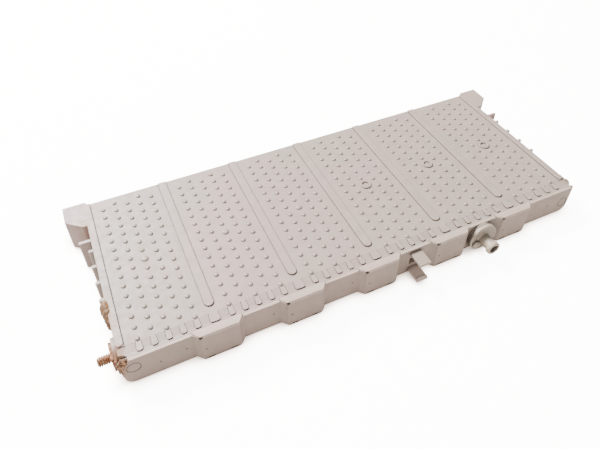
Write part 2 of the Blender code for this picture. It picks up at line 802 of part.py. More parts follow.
def separator_outline(centre):
    """The pleated sheet that winds between the plates and round their free edges, seen along Y."""
    levels = plate_levels()
    free = stack_half_width() - COLLECTOR_THICKNESS - FOLD_ROOM
    fold = free + CLEARANCE + SEPARATOR_THICKNESS / 2
    path = []
    for index, (low, high) in enumerate(zip(levels, levels[1:])):
        ends = [centre + fold, centre - fold]
        if index % 2:
            ends.reverse()
        path += [Vector((x, (low + high) / 2)) for x in ends]
    return ribbon_outline(path, SEPARATOR_THICKNESS)


def make_cells(positive, negative, fabric):
    """The plates and the separator of each cell. Odd levels are positive, even levels negative."""
    levels = plate_levels()
    near = LID_FACE + PLATE_BELOW_LID
    far = FAR_EDGE - BOTTOM_WALL - PLATE_ABOVE_BOTTOM
    for number, x in enumerate(CELL_CENTRES, start=1):
        bm = bmesh.new()
        add_prism(bm, comb_outline(x, 1, levels[1::2]), near, far, "Y")
        make_object(f"positive_plates_{number}", bm, positive)
        bm = bmesh.new()
        add_prism(bm, comb_outline(x, -1, levels[0::2]), near, far, "Y")
        make_object(f"negative_plates_{number}", bm, negative)
        bm = bmesh.new()
        add_prism(bm, separator_outline(x), near - SEPARATOR_OVERHANG, far + SEPARATOR_OVERHANG, "Y")
        make_object(f"separator_{number}", bm, fabric)


def main():
    clear_scene()
    grey = make_material("case_plastic", (0.58, 0.54, 0.52), 0.5)
    lid_grey = make_material("lid_plastic", (0.5, 0.46, 0.43), 0.5)
    pale = make_material("vent_plastic", (0.56, 0.53, 0.48), 0.45)
    rubber = make_material("seal_rubber", (0.03, 0.03, 0.032), 0.7)
    copper = make_material("corroded_stud", (0.45, 0.24, 0.14), 0.5, 0.8)
    rust = make_material("corroded_washer", (0.3, 0.13, 0.06), 0.8, 0.4)
    nickel = make_material("nickel", (0.62, 0.6, 0.57), 0.3, 1.0)
    brass = make_material("brass", (0.72, 0.55, 0.26), 0.3, 1.0)
    positive = make_material("positive_plate", (0.09, 0.1, 0.1), 0.7, 0.5)
    negative = make_material("negative_plate", (0.3, 0.3, 0.31), 0.6, 0.7)
    fabric = make_material("separator_fabric", (0.85, 0.85, 0.82), 0.9)

    make_case(grey)
    make_lid(lid_grey)
    make_vent_nozzle(pale)
    make_safety_valve(rubber)
    for side, word in ((-1, "left"), (1, "right")):
        make_terminal(side, word, copper, rust, rubber)
        make_insert(side, word, brass)
    make_connectors(nickel, rubber)
    make_cells(positive, negative, fabric)


main()
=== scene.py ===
# %% [markdown]
# # A six-cell prismatic battery module
# The real object is a flat tub of grey moulded plastic. Five walls split it into six cells, and a lid is
# welded over their open side. A threaded stud comes out of each short end, and a safety vent with a hose
# nozzle and a clip for a temperature sensor stand on the lid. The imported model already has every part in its
# place, so this script adds what a mould, a weld and years of use leave on such a part.

import math
import random

import bmesh
import bpy
from mathutils import Euler, Matrix, Vector, noise


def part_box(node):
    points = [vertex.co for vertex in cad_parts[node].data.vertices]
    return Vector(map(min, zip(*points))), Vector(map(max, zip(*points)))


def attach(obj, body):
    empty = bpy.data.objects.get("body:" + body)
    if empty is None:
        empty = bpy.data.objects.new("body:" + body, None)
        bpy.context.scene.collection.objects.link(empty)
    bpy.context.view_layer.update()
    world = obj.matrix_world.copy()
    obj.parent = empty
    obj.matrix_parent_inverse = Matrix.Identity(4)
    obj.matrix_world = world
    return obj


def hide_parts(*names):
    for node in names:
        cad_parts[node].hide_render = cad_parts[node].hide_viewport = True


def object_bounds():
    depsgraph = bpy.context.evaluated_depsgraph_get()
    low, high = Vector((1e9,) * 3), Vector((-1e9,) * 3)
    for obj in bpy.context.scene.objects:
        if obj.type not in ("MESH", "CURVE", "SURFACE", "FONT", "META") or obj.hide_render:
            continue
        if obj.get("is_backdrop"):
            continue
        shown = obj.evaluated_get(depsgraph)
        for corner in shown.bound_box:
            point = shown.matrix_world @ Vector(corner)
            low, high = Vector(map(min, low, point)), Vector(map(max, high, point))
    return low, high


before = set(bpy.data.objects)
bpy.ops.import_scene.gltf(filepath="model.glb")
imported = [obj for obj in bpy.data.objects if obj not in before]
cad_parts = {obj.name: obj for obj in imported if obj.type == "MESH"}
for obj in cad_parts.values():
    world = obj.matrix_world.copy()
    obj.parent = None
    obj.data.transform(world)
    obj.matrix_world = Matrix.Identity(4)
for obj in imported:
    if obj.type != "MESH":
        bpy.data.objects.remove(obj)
cad_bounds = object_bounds()
print("nodes in the frame:", len(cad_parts))

# %% [markdown]
# ## Sizes
# The main sizes come from the boxes of the imported nodes, and the others are given as numbers.
# Blender works in metres, and a name for a millimetre keeps the small sizes readable.

# %% Read the main sizes off the frame
MM = 0.001

case_low, case_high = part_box("case")
body_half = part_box("lid")[1].x
module_top = case_high.z
mid_height = module_top / 2
clearance = 0.3 * MM
case_rim = case_low.y
lid_back = case_rim - clearance
lid_thickness = 1.8 * MM
lid_face = lid_back - lid_thickness
relief = 0.7 * MM
face_low = relief
face_high = module_top - relief
ear_top = case_high.y
far_edge = ear_top - 2.0 * MM
cell_pitch = 43.36 * MM
cell_centres = [(index - 2.5) * cell_pitch for index in range(6)]
partitions = [(index - 2) * cell_pitch for index in range(5)]
face_wall = 1.2 * MM
end_wall = 2.22 * MM
bottom_wall = 2.0 * MM
print(f"body {2000 * body_half:.1f} mm long and {1000 * module_top:.1f} mm thick, lid face at {lid_face:.4f}")

# %% [markdown]
# ## Camera
# The camera stands in front of the lid, a little to the left, and looks down at the module. Aiming it at a
# point with `to_track_quat` is easier to read than three angles. A vertical shift of the lens moves the
# module up in the frame without turning the camera, so its upright edges keep their slant.

# %% Add the camera
CAMERA_PLACE = Vector((-112.2, -194.4, 242.9)) * MM
CAMERA_AIM = Vector((2.2, 50.1, 9.8)) * MM
CAMERA_ROLL = math.radians(0.23)
CAMERA_LENS = 32.98
CAMERA_SHIFT = -0.115

camera_data = bpy.data.cameras.new("camera")
camera_data.lens = CAMERA_LENS
camera_data.sensor_width = 36
camera_data.shift_y = CAMERA_SHIFT
camera_data.clip_start = 0.01
camera = bpy.data.objects.new("camera", camera_data)
bpy.context.scene.collection.objects.link(camera)
camera.location = CAMERA_PLACE
camera.rotation_mode = "QUATERNION"
aim = (CAMERA_AIM - CAMERA_PLACE).to_track_quat("-Z", "Y")
camera.rotation_quaternion = aim @ Euler((0, 0, CAMERA_ROLL)).to_quaternion()
bpy.context.scene.camera = camera
print("camera at", tuple(round(value, 3) for value in camera.location))

# %% [markdown]
# ## Tools for solid shapes
# Moulded parts are built here the way a toolmaker thinks of them: plain solids are joined, others are cut
# away, and sharp edges are rounded. A bmesh holds each shape while it is made. `create_cube`, an extruded
# outline and a spun profile cover nearly everything.

# %% A bmesh as an object
def as_object(name, bm):
    """An object with the shape of a bmesh, its faces turned outwards."""
    bmesh.ops.recalc_face_normals(bm, faces=bm.faces)
    mesh = bpy.data.meshes.new(name)
    bm.to_mesh(mesh)
    bm.free()
    obj = bpy.data.objects.new(name, mesh)
    bpy.context.scene.collection.objects.link(obj)
    return obj


# %% Boxes and prisms
def add_box(bm, low, high):
    """A box between two corners."""
    low, high = Vector(low), Vector(high)
    scale = Matrix.Diagonal((*(high - low), 1))
    bmesh.ops.create_cube(bm, size=1, matrix=Matrix.Translation((low + high) / 2) @ scale)


PLACES = {
    "X": lambda u, v, w: Vector((w, u, v)),
    "Y": lambda u, v, w: Vector((u, w, v)),
    "Z": lambda u, v, w: Vector((u, v, w)),
}


def push_face(bm, face, vector):
    """Extrudes a face along a vector and gives the face at the new end."""
    pushed = bmesh.ops.extrude_face_region(bm, geom=[face])["geom"]
    moved = [item for item in pushed if isinstance(item, bmesh.types.BMVert)]
    bmesh.ops.translate(bm, verts=moved, vec=vector)
    return next(item for item in pushed if isinstance(item, bmesh.types.BMFace))


def add_prism(bm, outline, start, end, axis):
    """A prism: an outline pushed from start to end along an axis."""
    place = PLACES[axis]
    face = bm.faces.new([bm.verts.new(place(u, v, start)) for u, v in outline])
    return push_face(bm, face, place(0, 0, end - start))


# %% Turned shapes
def in_mm(points):
    """Points given in millimetres, turned into Blender's metres."""
    return [tuple(value * MM for value in point) for point in points]


def add_turned(bm, profile, centre, axis, steps=48, closed=False):
    """A turned solid from (radius, distance) points. A closed profile makes a ring."""
    axis, centre = Vector(axis), Vector(centre)
    side = Vector((0, 0, 1)) if abs(axis.z) < 0.5 else Vector((1, 0, 0))
    points = [bm.verts.new(centre + side * radius + axis * distance) for radius, distance in profile]
    pairs = list(zip(points, points[1:]))
    if closed:
        pairs.append((points[-1], points[0]))
    edges = [bm.edges.new(pair) for pair in pairs]
    bmesh.ops.spin(
        bm,
        geom=points + edges,
        cent=centre,
        axis=axis,
        dvec=(0, 0, 0),
        angle=2 * math.pi,
        steps=steps,
        use_merge=True,
        use_duplicate=False,
    )
    bmesh.ops.remove_doubles(bm, verts=bm.verts, dist=0.0005 * MM)


# %% Rounded edges
def round_edges(bm, edges, size, segments):
    """Bevels some edges of a bmesh into an arc."""
    bmesh.ops.bevel(
        bm,
        geom=edges,
        offset=size,
        offset_type="OFFSET",
        segments=segments,
        profile=0.5,
        affect="EDGES",
        material=-1,
        clamp_overlap=True,
    )


def soften(bm, size, segments=2, from_angle=40):
    """Rounds every edge of a bmesh that turns by more than an angle."""
    bmesh.ops.recalc_face_normals(bm, faces=bm.faces)
    limit = math.radians(from_angle)
    edges = [edge for edge in bm.edges if edge.is_manifold and edge.calc_face_angle() > limit]
    round_edges(bm, edges, size, segments)


# %% [markdown]
# A Boolean modifier joins or cuts two solids. Its result is read back with `new_from_object`, so that the
# modifier and the tool shape can both go, and the finished piece is one plain mesh.

# %% Join and cut
def settle(obj):
    """Makes the result of an object's modifiers its own mesh."""
    depsgraph = bpy.context.evaluated_depsgraph_get()
    shaped = bpy.data.meshes.new_from_object(obj.evaluated_get(depsgraph))
    obj.modifiers.clear()
    obj.data = shaped


def carve(target, tool, operation):
    """Joins a tool's shape to the target, or cuts it away, and removes the tool."""
    modifier = target.modifiers.new("carve", "BOOLEAN")
    modifier.operation = operation
    modifier.solver = "EXACT"
    modifier.object = tool
    settle(target)
    bpy.data.objects.remove(tool)


# %% [markdown]
# ## Tools for finishes
# Each finish is a small tree of nodes that reads Object coordinates, so its pattern stays on the part at its
# real scale. A noise that repeats every few millimetres needs a scale of several hundred, because the
# coordinates are in metres.

# %% Nodes of a finish
class Finish:
    """A material with short ways to add its nodes."""

    def __init__(self, name, **values):
        self.material = bpy.data.materials.new(name)
        self.material.use_nodes = True
        self.nodes = self.material.node_tree.nodes
        self.links = self.material.node_tree.links
        self.shader = self.nodes["Principled BSDF"]
        for socket, value in values.items():
            self.shader.inputs[socket.replace("_", " ")].default_value = value
        self.coordinates = self.nodes.new("ShaderNodeTexCoord").outputs["Object"]

    def noise(self, scale, detail=4, roughness=0.55, stretch=(1, 1, 1)):
        """A noise of a given scale. Stretch squeezes it along each axis."""
        mapping = self.nodes.new("ShaderNodeMapping")
        mapping.inputs["Scale"].default_value = stretch
        self.links.new(self.coordinates, mapping.inputs["Vector"])
        texture = self.nodes.new("ShaderNodeTexNoise")
        texture.inputs["Scale"].default_value = scale
        texture.inputs["Detail"].default_value = detail
        texture.inputs["Roughness"].default_value = roughness
        self.links.new(mapping.outputs["Vector"], texture.inputs["Vector"])
        return texture.outputs["Fac"]

    def ramp(self, value, stops):
        """Colours by a value, from (position, colour) stops."""
        node = self.nodes.new("ShaderNodeValToRGB")
        elements = node.color_ramp.elements
        while len(elements) < len(stops):
            elements.new(1.0)
        for element, (position, colour) in zip(elements, stops):
            element.position = position
            element.color = (*colour, 1)
        self.links.new(value, node.inputs["Fac"])
        return node.outputs["Color"]

    def stretch(self, value, low, high, to_low=0.0, to_high=1.0):
        """Maps a range of values to another, and stops at its ends."""
        node = self.nodes.new("ShaderNodeMapRange")
        for socket, number in zip(("From Min", "From Max", "To Min", "To Max"), (low, high, to_low, to_high)):
            node.inputs[socket].default_value = number
        self.links.new(value, node.inputs["Value"])
        return node.outputs["Result"]

    def maths(self, operation, first, second):
        """One step of arithmetic. Either value may be a number or a socket."""
        node = self.nodes.new("ShaderNodeMath")
        node.operation = operation
        for socket, value in zip(node.inputs, (first, second)):
            if isinstance(value, (int, float)):
                socket.default_value = value
            else:
                self.links.new(value, socket)
        return node.outputs["Value"]

    def mix(self, factor, first, second, blend="MIX"):
        """Two colours mixed by a factor. Each may be a colour or a socket."""
        node = self.nodes.new("ShaderNodeMix")
        node.data_type = "RGBA"
        node.blend_type = blend
        colours = [socket for socket in node.inputs if socket.type == "RGBA"]
        for socket, value in ((node.inputs[0], factor), (colours[0], first), (colours[1], second)):
            if isinstance(value, (int, float)):
                socket.default_value = value
            elif isinstance(value, tuple):
                socket.default_value = (*value, 1)
            else:
                self.links.new(value, socket)
        return next(socket for socket in node.outputs if socket.type == "RGBA")

    def spot(self, centre, radii, edge, ragged=0.5):
        """A mask that is 1 inside an egg shape and fades out past it, with a ragged edge."""
        mapping = self.nodes.new("ShaderNodeMapping")
        mapping.inputs["Scale"].default_value = [1 / radius for radius in radii]
        mapping.inputs["Location"].default_value = [-c / radius for c, radius in zip(centre, radii)]
        self.links.new(self.coordinates, mapping.inputs["Vector"])
        length = self.nodes.new("ShaderNodeVectorMath")
        length.operation = "LENGTH"
        self.links.new(mapping.outputs["Vector"], length.inputs[0])
        wobble = self.maths("MULTIPLY", self.maths("SUBTRACT", self.noise(420, 5), 0.5), 4 * ragged)
        return self.stretch(self.maths("ADD", length.outputs["Value"], wobble), 1, 1 + edge, 1, 0)

    def corners(self, distance):
        """A value that falls towards 0 in narrow corners, where shade falls. It is used to paint shade into
        colours.
        """
        node = self.nodes.new("ShaderNodeAmbientOcclusion")
        node.samples = 12
        node.inputs["Distance"].default_value = distance
        return node.outputs["AO"]

    def bump(self, height, strength, distance):
        """Bumps from a height, on top of any bumps that the finish already has."""
        node = self.nodes.new("ShaderNodeBump")
        node.inputs["Strength"].default_value = strength
        node.inputs["Distance"].default_value = distance
        self.links.new(height, node.inputs["Height"])
        target = self.shader.inputs["Normal"]
        if target.is_linked:
            self.links.new(target.links[0].from_socket, node.inputs["Normal"])
        self.links.new(node.outputs["Normal"], target)

    def drive(self, socket, value):
        """Links a value to one of the shader's sockets."""
        self.links.new(value, self.shader.inputs[socket])


# %% [markdown]
# ## Moulded plastic
# The case and lid are matt grey polypropylene. Old plastic is never one grey: it drifts slowly between a
# pinkish and a greenish tone, dust settles into a fine cloud, and tiny dark specks are moulded in. Rust from
# the terminals stains it, and shade is painted into narrow corners. The fine grain of the mould goes into the
# bump, and everything larger is real shape.

# %% Grey plastic
STAIN = (0.2, 0.09, 0.04)


def moulded_plastic(name, pink, green, stains, reach, darkest, highlight_from=None, painted_light_spots=()):
    """A matt plastic between two tones, with painted shade in its corners, and optionally a painted highlight
    above a height and painted lit patches. Stains are (centre, radii, strength).
    """
    finish = Finish(name)
    drift = finish.stretch(finish.noise(20, 3), 0.38, 0.62)
    colour = finish.mix(drift, pink, green)
    cloud = finish.stretch(finish.noise(150, 5), 0.3, 0.7, 0.93, 1.07)
    colour = finish.mix(1.0, colour, cloud, "MULTIPLY")
    specks = finish.stretch(finish.noise(1100, 2), 0.71, 0.76, 0, 0.35)
    colour = finish.mix(specks, colour, (0.13, 0.11, 0.1))
    # Painted shade: the colour is darkened where the occlusion node finds surfaces close by, down to darkest in
    # the tightest corners.
    corner_shade = finish.stretch(finish.corners(reach), 0.35, 0.95, darkest, 1.0)
    colour = finish.mix(1.0, colour, corner_shade, "MULTIPLY")
    # Painted highlight: everything above this height is made up to 1.45 times lighter, a lit strip along the
    # lid's upper edge.
    if highlight_from is not None:
        split = finish.nodes.new("ShaderNodeSeparateXYZ")
        finish.links.new(finish.coordinates, split.inputs["Vector"])
        edge = finish.stretch(split.outputs["Z"], highlight_from, highlight_from + 0.4 * MM, 1.0, 1.45)
        colour = finish.mix(1.0, colour, edge, "MULTIPLY")
    # Painted light: each spot makes the colour up to 1.9 times lighter, a lit patch where shade falls.
    for centre, radii in painted_light_spots:
        lit_patch = finish.stretch(finish.spot(centre, radii, 0.3, 0.05), 0, 1, 1.0, 1.9)
        colour = finish.mix(1.0, colour, lit_patch, "MULTIPLY")
    for centre, radii, strength in stains:
        mask = finish.maths("MULTIPLY", finish.spot(centre, radii, 0.8), strength)
        colour = finish.mix(mask, colour, STAIN)
    finish.drive("Base Color", colour)
    finish.drive("Roughness", finish.stretch(finish.noise(260, 4), 0.3, 0.7, 0.45, 0.62))
    finish.bump(finish.noise(2600, 3), 0.18, 0.06 * MM)
    finish.bump(finish.noise(130, 3), 0.25, 0.12 * MM)
    return finish.material


terminal_y = lid_face + 10.6 * MM
left_terminal = Vector((-body_half, terminal_y, mid_height))
right_terminal = Vector((body_half, terminal_y, mid_height))
rust_stains = [
    (left_terminal + Vector((0, -6.5, 6)) * MM, (2.0 * MM, 5 * MM, 6 * MM), 0.7),
    (Vector((-body_half, -25 * MM, 14 * MM)), (1.3 * MM, 8 * MM, 7 * MM), 0.6),
    (right_terminal + Vector((0, 1, 3)) * MM, (2.5 * MM, 8 * MM, 8 * MM), 0.2),
    (Vector((body_half + 3 * MM, 24.5 * MM, mid_height)), (4 * MM, 2 * MM, 12 * MM), 0.35),
    (Vector((case_low.x + 9 * MM, 36 * MM, mid_height)), (3 * MM, 6 * MM, 12 * MM), 0.3),
]
# Painted shade reaches 1.6 mm on the case and darkens its tightest corners to 0.4.
case_grey = moulded_plastic(
    "case_grey", (0.266, 0.196, 0.182), (0.244, 0.204, 0.174), rust_stains, 1.6 * MM, 0.4
)
# Painted highlight: the lid is lighter above this height, along its upper strip and the tops of the blocks.
LID_HIGHLIGHT_FROM = face_high - 0.9 * MM
# Painted light: a lit patch on the lower sensor tab, which lies in shade under the upper tab.
LOW_TAB = (Vector((cell_centres[3], lid_face - 5.5 * MM, 3.6 * MM)), (4.6 * MM, 5.2 * MM, 1.6 * MM))
# Painted shade reaches 3.4 mm on the lid and darkens its corners to 0.3, such as the plate beside each block.
lid_grey = moulded_plastic(
    "lid_grey",
    (0.245, 0.182, 0.157),
    (0.23, 0.184, 0.152),
    rust_stains[:3],
    3.4 * MM,
    0.3,
    LID_HIGHLIGHT_FROM,
    [LOW_TAB],
)
# Painted shade reaches 5 mm on the nozzle and darkens its corners to 0.05, such as the gap round the flange.
vent_grey = moulded_plastic("vent_grey", (0.32, 0.25, 0.208), (0.3, 0.253, 0.197), [], 5 * MM, 0.05)
print("plastics:", case_grey.name, lid_grey.name, vent_grey.name)

# %% [markdown]
# ## Corroded metal
# Leaked electrolyte eats the terminals. Their plating turns into a crust that runs from near black through
# red rust to a pale powder, and it stands up in grains. One noise picks the colour, and a finer one makes
# the grains, so the two never line up too neatly.

# %% Rust, crust and dried electrolyte
def corroded(name, stops, metallic, grain, roughness=(0.6, 0.95)):
    """A corroded surface, coloured by stops, with grains of a given height and dark corners."""
    finish = Finish(name, Metallic=metallic)
    patches = finish.stretch(finish.noise(420, 6, 0.65), 0.3, 0.7)
    # Painted shade: an occlusion node darkens the colour in corners and hollows.
    corner_shade = finish.stretch(finish.corners(0.8 * MM), 0.3, 0.9, 0.25, 1.0)
    finish.drive("Base Color", finish.mix(1.0, finish.ramp(patches, stops), corner_shade, "MULTIPLY"))
    finish.drive("Roughness", finish.stretch(finish.noise(700, 4), 0.35, 0.65, *roughness))
    finish.bump(finish.noise(1900, 5, 0.7), 0.7, grain)
    return finish.material


DARK_RUST = (0.055, 0.022, 0.014)
RED_RUST = (0.24, 0.085, 0.035)
STEEL = (0.46, 0.44, 0.42)

stud_rust = corroded(
    "corroded_copper",
    [(0.0, (0.1, 0.04, 0.02)), (0.35, RED_RUST), (0.6, (0.3, 0.18, 0.1)), (1.0, (0.42, 0.34, 0.22))],
    0.35,
    0.12 * MM,
    (0.38, 0.75),
)
dull_steel = corroded(
    "dull_steel",
    [(0.0, RED_RUST), (0.35, (0.3, 0.24, 0.2)), (0.6, STEEL), (1.0, (0.6, 0.58, 0.55))],
    0.75,
    0.05 * MM,
    (0.35, 0.6),
)
plate_rust = corroded(
    "rusted_plate",
    [(0.0, DARK_RUST), (0.35, (0.13, 0.05, 0.025)), (0.6, RED_RUST), (1.0, (0.42, 0.36, 0.28))],
    0.2,
    0.2 * MM,
)
crust = corroded(
    "terminal_crust",
    [
        (0.0, (0.02, 0.01, 0.007)),
        (0.35, (0.1, 0.045, 0.02)),
        (0.6, (0.26, 0.13, 0.06)),
        (1.0, (0.42, 0.27, 0.15)),
    ],
    0.0,
    0.2 * MM,
)
residue = corroded(
    "dried_electrolyte",
    [
        (0.0, (0.02, 0.01, 0.004)),
        (0.4, (0.08, 0.036, 0.012)),
        (0.75, (0.18, 0.088, 0.028)),
        (1.0, (0.28, 0.155, 0.065)),
    ],
    0.0,
    0.08 * MM,
    (0.5, 0.8),
)
print("corroded finishes: 5")

# %% [markdown]
# ## Finishes for the inside
# The plates, separators, seals and rivets are only seen when the module is opened, but they carry on from
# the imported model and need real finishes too. The positive plates are foam filled with dark paste, the
# negative ones are a dull metal powder on a sheet, and the separator between them is a white felt.

# %% Plates, felt, rubber and bright metal
def powdery(name, first, second, scale, metallic, relief_height):
    """A pressed powder or paste of two tones."""
    finish = Finish(name, Metallic=metallic)
    patches = finish.stretch(finish.noise(scale, 6, 0.7), 0.35, 0.65)
    finish.drive("Base Color", finish.mix(patches, first, second))
    finish.drive("Roughness", finish.stretch(finish.noise(scale / 4, 3), 0.3, 0.7, 0.6, 0.9))
    finish.bump(finish.noise(3 * scale, 4), 0.5, relief_height)
    return finish.material


def brushed(name, colour, worn, roughness):
    """Plated metal with fine lines along X and a few worn patches."""
    finish = Finish(name, Metallic=1.0)
    lines = finish.noise(900, 4, 0.6, (0.15, 1, 1))
    patches = finish.stretch(finish.noise(300, 4), 0.55, 0.7)
    finish.drive("Base Color", finish.mix(patches, colour, worn))
    finish.drive("Roughness", finish.stretch(lines, 0.3, 0.7, roughness - 0.08, roughness + 0.12))
    finish.bump(lines, 0.15, 0.02 * MM)
    return finish.material


def felt(name):
    """White felt with long fibres both ways."""
    finish = Finish(name, Roughness=0.95)
    fibres = finish.maths(
        "ADD", finish.noise(1500, 3, 0.6, (0.12, 1, 1)), finish.noise(1500, 3, 0.6, (1, 0.12, 1))
    )
    shade = finish.stretch(fibres, 0.7, 1.3)
    finish.drive("Base Color", finish.mix(shade, (0.7, 0.69, 0.64), (0.88, 0.87, 0.84)))
    finish.bump(fibres, 0.6, 0.05 * MM)
    return finish.material


positive_paste = powdery("positive_paste", (0.045, 0.047, 0.05), (0.13, 0.135, 0.14), 900, 0.3, 0.05 * MM)
negative_powder = powdery("negative_powder", (0.22, 0.22, 0.23), (0.36, 0.36, 0.37), 700, 0.6, 0.03 * MM)
rubber = powdery("black_rubber", (0.018, 0.018, 0.02), (0.04, 0.04, 0.042), 500, 0.0, 0.02 * MM)
white_felt = felt("white_felt")
bright_nickel = brushed("bright_nickel", (0.62, 0.6, 0.57), (0.42, 0.4, 0.38), 0.3)
bright_brass = brushed("bright_brass", (0.72, 0.52, 0.24), (0.42, 0.3, 0.16), 0.34)
print("inside finishes: 6")

# %% [markdown]
# ## Putting a piece in its place
# Every new piece ends the same way. Its normals are weighted by face area, so that large flat faces stay flat
# to the eye while the small rounded edges shade softly. Then it gets its finish, rides on the module, and
# the imported nodes it stands for are hidden.

# %% Finish a piece
def present(piece, material, slot, *nodes, sharp=52):
    """Shades a piece, gives it its finish, and ties it to the module."""
    piece.data.materials.clear()
    piece.data.materials.append(material)
    piece.data.shade_smooth()
    piece.data.set_sharp_from_angle(angle=math.radians(sharp))
    weighted = piece.modifiers.new("weighted_normals", "WEIGHTED_NORMAL")
    weighted.keep_sharp = True
    settle(piece)
    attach(piece, "module")
    if nodes:
        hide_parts(*nodes)
    print(piece.name, len(piece.data.polygons), "faces")


# %% [markdown]
# ## The case
# The body starts as one prism with the rounded outline that the lid shares. Ribs, bands, ears and bosses are
# solids of their own that are rounded first and joined after, because a bevel on the joined shape would have
# to find its way through every crossing.

# %% Body
LOW_CORNER = 4.4 * MM
TOP_CORNER = 1.0 * MM


def rounded_outline(low, high, low_radius, high_radius, segments=8):
    """A rectangle with round corners, the lower two and the upper two of their own radius."""
    corners = [
        ((low[0], low[1]), low_radius, 180),
        ((high[0], low[1]), low_radius, 270),
        ((high[0], high[1]), high_radius, 0),
        ((low[0], high[1]), high_radius, 90),
    ]
    middle = ((low[0] + high[0]) / 2, (low[1] + high[1]) / 2)
    points = []
    for corner, radius, first in corners:
        centre = [c + math.copysign(radius, m - c) for c, m in zip(corner, middle)]
        for step in range(segments + 1):
            angle = math.radians(first + 90 * step / segments)
            points.append((centre[0] + radius * math.cos(angle), centre[1] + radius * math.sin(angle)))
    return points


def body_outline(inset=0.0, drop=0.0):
    """The outline of the case and lid seen along Y. Drop lowers the upper broad face."""
    low = (-body_half + inset, face_low + inset)
    high = (body_half - inset, face_high - drop)
    return rounded_outline(low, high, LOW_CORNER - inset, TOP_CORNER - inset)


bm = bmesh.new()
add_prism(bm, body_outline(), lid_back + 0.02 * MM, far_edge, "Y")
case = as_object("case_shell", bm)
print("case body ready")

# %% [markdown]
# The ribs lie over the inner walls, on both broad faces, and hold neighbouring modules apart so that air can
# flow between them. Each is square at the far end and half round near the lid. The bands along both ends do
# the same job, with rounded corners near the lid, and each ends in a low foot there.

# %% Ribs and bands
RIB_WIDTH = 4.6 * MM
RIB_END = lid_face + 11.6 * MM
BAND_WIDTH = 3.7 * MM
BAND_END = lid_face + 8.0 * MM
BAND_CORNER = 1.6 * MM
FOOT_PROUD = 0.3 * MM
GROOVE_WIDTH = 0.32 * MM
GROOVE_DEPTH = 0.3 * MM
PAD_NEAR = case_rim + 1.55 * MM
SINK = face_wall / 2


def slot_outline(x, width, near, far, segments=12):
    """A rib seen from above: square at the far end and half round at the near end."""
    radius = width / 2
    points = [(x + radius, far), (x - radius, far)]
    for step in range(segments + 1):
        angle = math.pi + math.pi * step / segments
        points.append((x + radius * math.cos(angle), near + radius + radius * math.sin(angle)))
    return points


def both_faces(height=relief):
    """For each broad face, a level inside its wall and the level that a raised shape reaches."""
    return [(face_high - SINK, face_high + height), (face_low + SINK, face_low - height)]


bm = bmesh.new()
for level, outward in ((face_high, 1), (face_low, -1)):
    start, end = level - outward * GROOVE_DEPTH, level + outward * MM
    for x in partitions:
        outline = slot_outline(x, RIB_WIDTH + 2 * GROOVE_WIDTH, RIB_END - GROOVE_WIDTH, far_edge - MM)
        add_prism(bm, outline, start, end, "Z")
    for side in (-1, 1):
        edge = body_half + 0.1 * MM - BAND_WIDTH
        low, high = sorted((side * edge, side * (edge - GROOVE_WIDTH)))
        add_box(bm, (low, PAD_NEAR, min(start, end)), (high, far_edge - MM, max(start, end)))
carve(case, as_object("grooves", bm), "DIFFERENCE")

bm = bmesh.new()
for start, end in both_faces():
    for x in partitions:
        add_prism(bm, slot_outline(x, RIB_WIDTH, RIB_END, far_edge), start, end, "Z")
soften(bm, 0.22 * MM)
carve(case, as_object("ribs", bm), "UNION")

bm = bmesh.new()
outer = body_half + 0.1 * MM
for side in (-1, 1):
    low, high = sorted((side * (outer - BAND_WIDTH), side * outer))
    outline = rounded_outline((low, BAND_END), (high, far_edge), BAND_CORNER, 0.3 * MM, 5)
    add_prism(bm, outline, 0, module_top, "Z")
soften(bm, 0.3 * MM)
carve(case, as_object("bands", bm), "UNION")

bm = bmesh.new()
for side in (-1, 1):
    low, high = sorted((side * (outer - BAND_WIDTH), side * (outer - 0.3 * MM)))
    for level, outward in ((face_high, 1), (face_low, -1)):
        start, end = sorted((level - outward * SINK, level + outward * FOOT_PROUD))
        add_box(bm, (low, PAD_NEAR + 0.3 * MM, start), (high, BAND_END + 2 * MM, end))
soften(bm, 0.1 * MM)
carve(case, as_object("band_feet", bm), "UNION")
print("ribs:", 2 * len(partitions), "bands: 2")

# %% [markdown]
# The two ears at the far corners hold the bolts that clamp the module in its tray. They are as thick as the
# whole module, with a sloped underside that draws cleanly out of the mould. Five thin ribs stiffen each end
# wall, and their tips are round.

# %% Ears and end ribs
EAR_STRAIGHT = 12.1 * MM
EAR_SLOPE = 7.0 * MM
EAR_FOOT = 2.5 * MM
END_RIB_THICKNESS = 2.0 * MM
END_RIBS = [(24.5 * MM, 6.3 * MM)] + [((16.9 - 10.87 * index) * MM, 2.6 * MM) for index in range(4)]

bm = bmesh.new()
inner = body_half - end_wall / 2
corner = ear_top - EAR_STRAIGHT
for side in (-1, 1):
    outline = [
        (inner - 2 * MM, far_edge - bottom_wall / 2),
        (inner, ear_top),
        (case_high.x, ear_top),
        (case_high.x, corner),
        (body_half + EAR_FOOT, corner - EAR_SLOPE),
        (inner, corner - EAR_SLOPE),
        (inner, far_edge - bottom_wall / 2),
    ]
    add_prism(bm, [(side * x, y) for x, y in outline], 0, module_top, "Z")
soften(bm, 0.45 * MM, from_angle=25)
carve(case, as_object("ears", bm), "UNION")

bm = bmesh.new()
for side in (-1, 1):
    for y, reach in END_RIBS:
        outline = slot_outline(y, END_RIB_THICKNESS, -(body_half + reach), -inner, 8)
        placed = [(side * -u, v) for v, u in outline]
        add_prism(bm, placed, relief / 2, module_top - relief / 2, "Z")
soften(bm, 0.2 * MM)
carve(case, as_object("end_ribs", bm), "UNION")
print("ears: 2, end ribs:", 2 * len(END_RIBS))

# %% [markdown]
# Round bosses carry the seals of the terminals. A dome on three of the cells and a ring on the other three
# locate the next module in the stack: a module laid face to face, turned end for end, puts its domes in the
# rings.

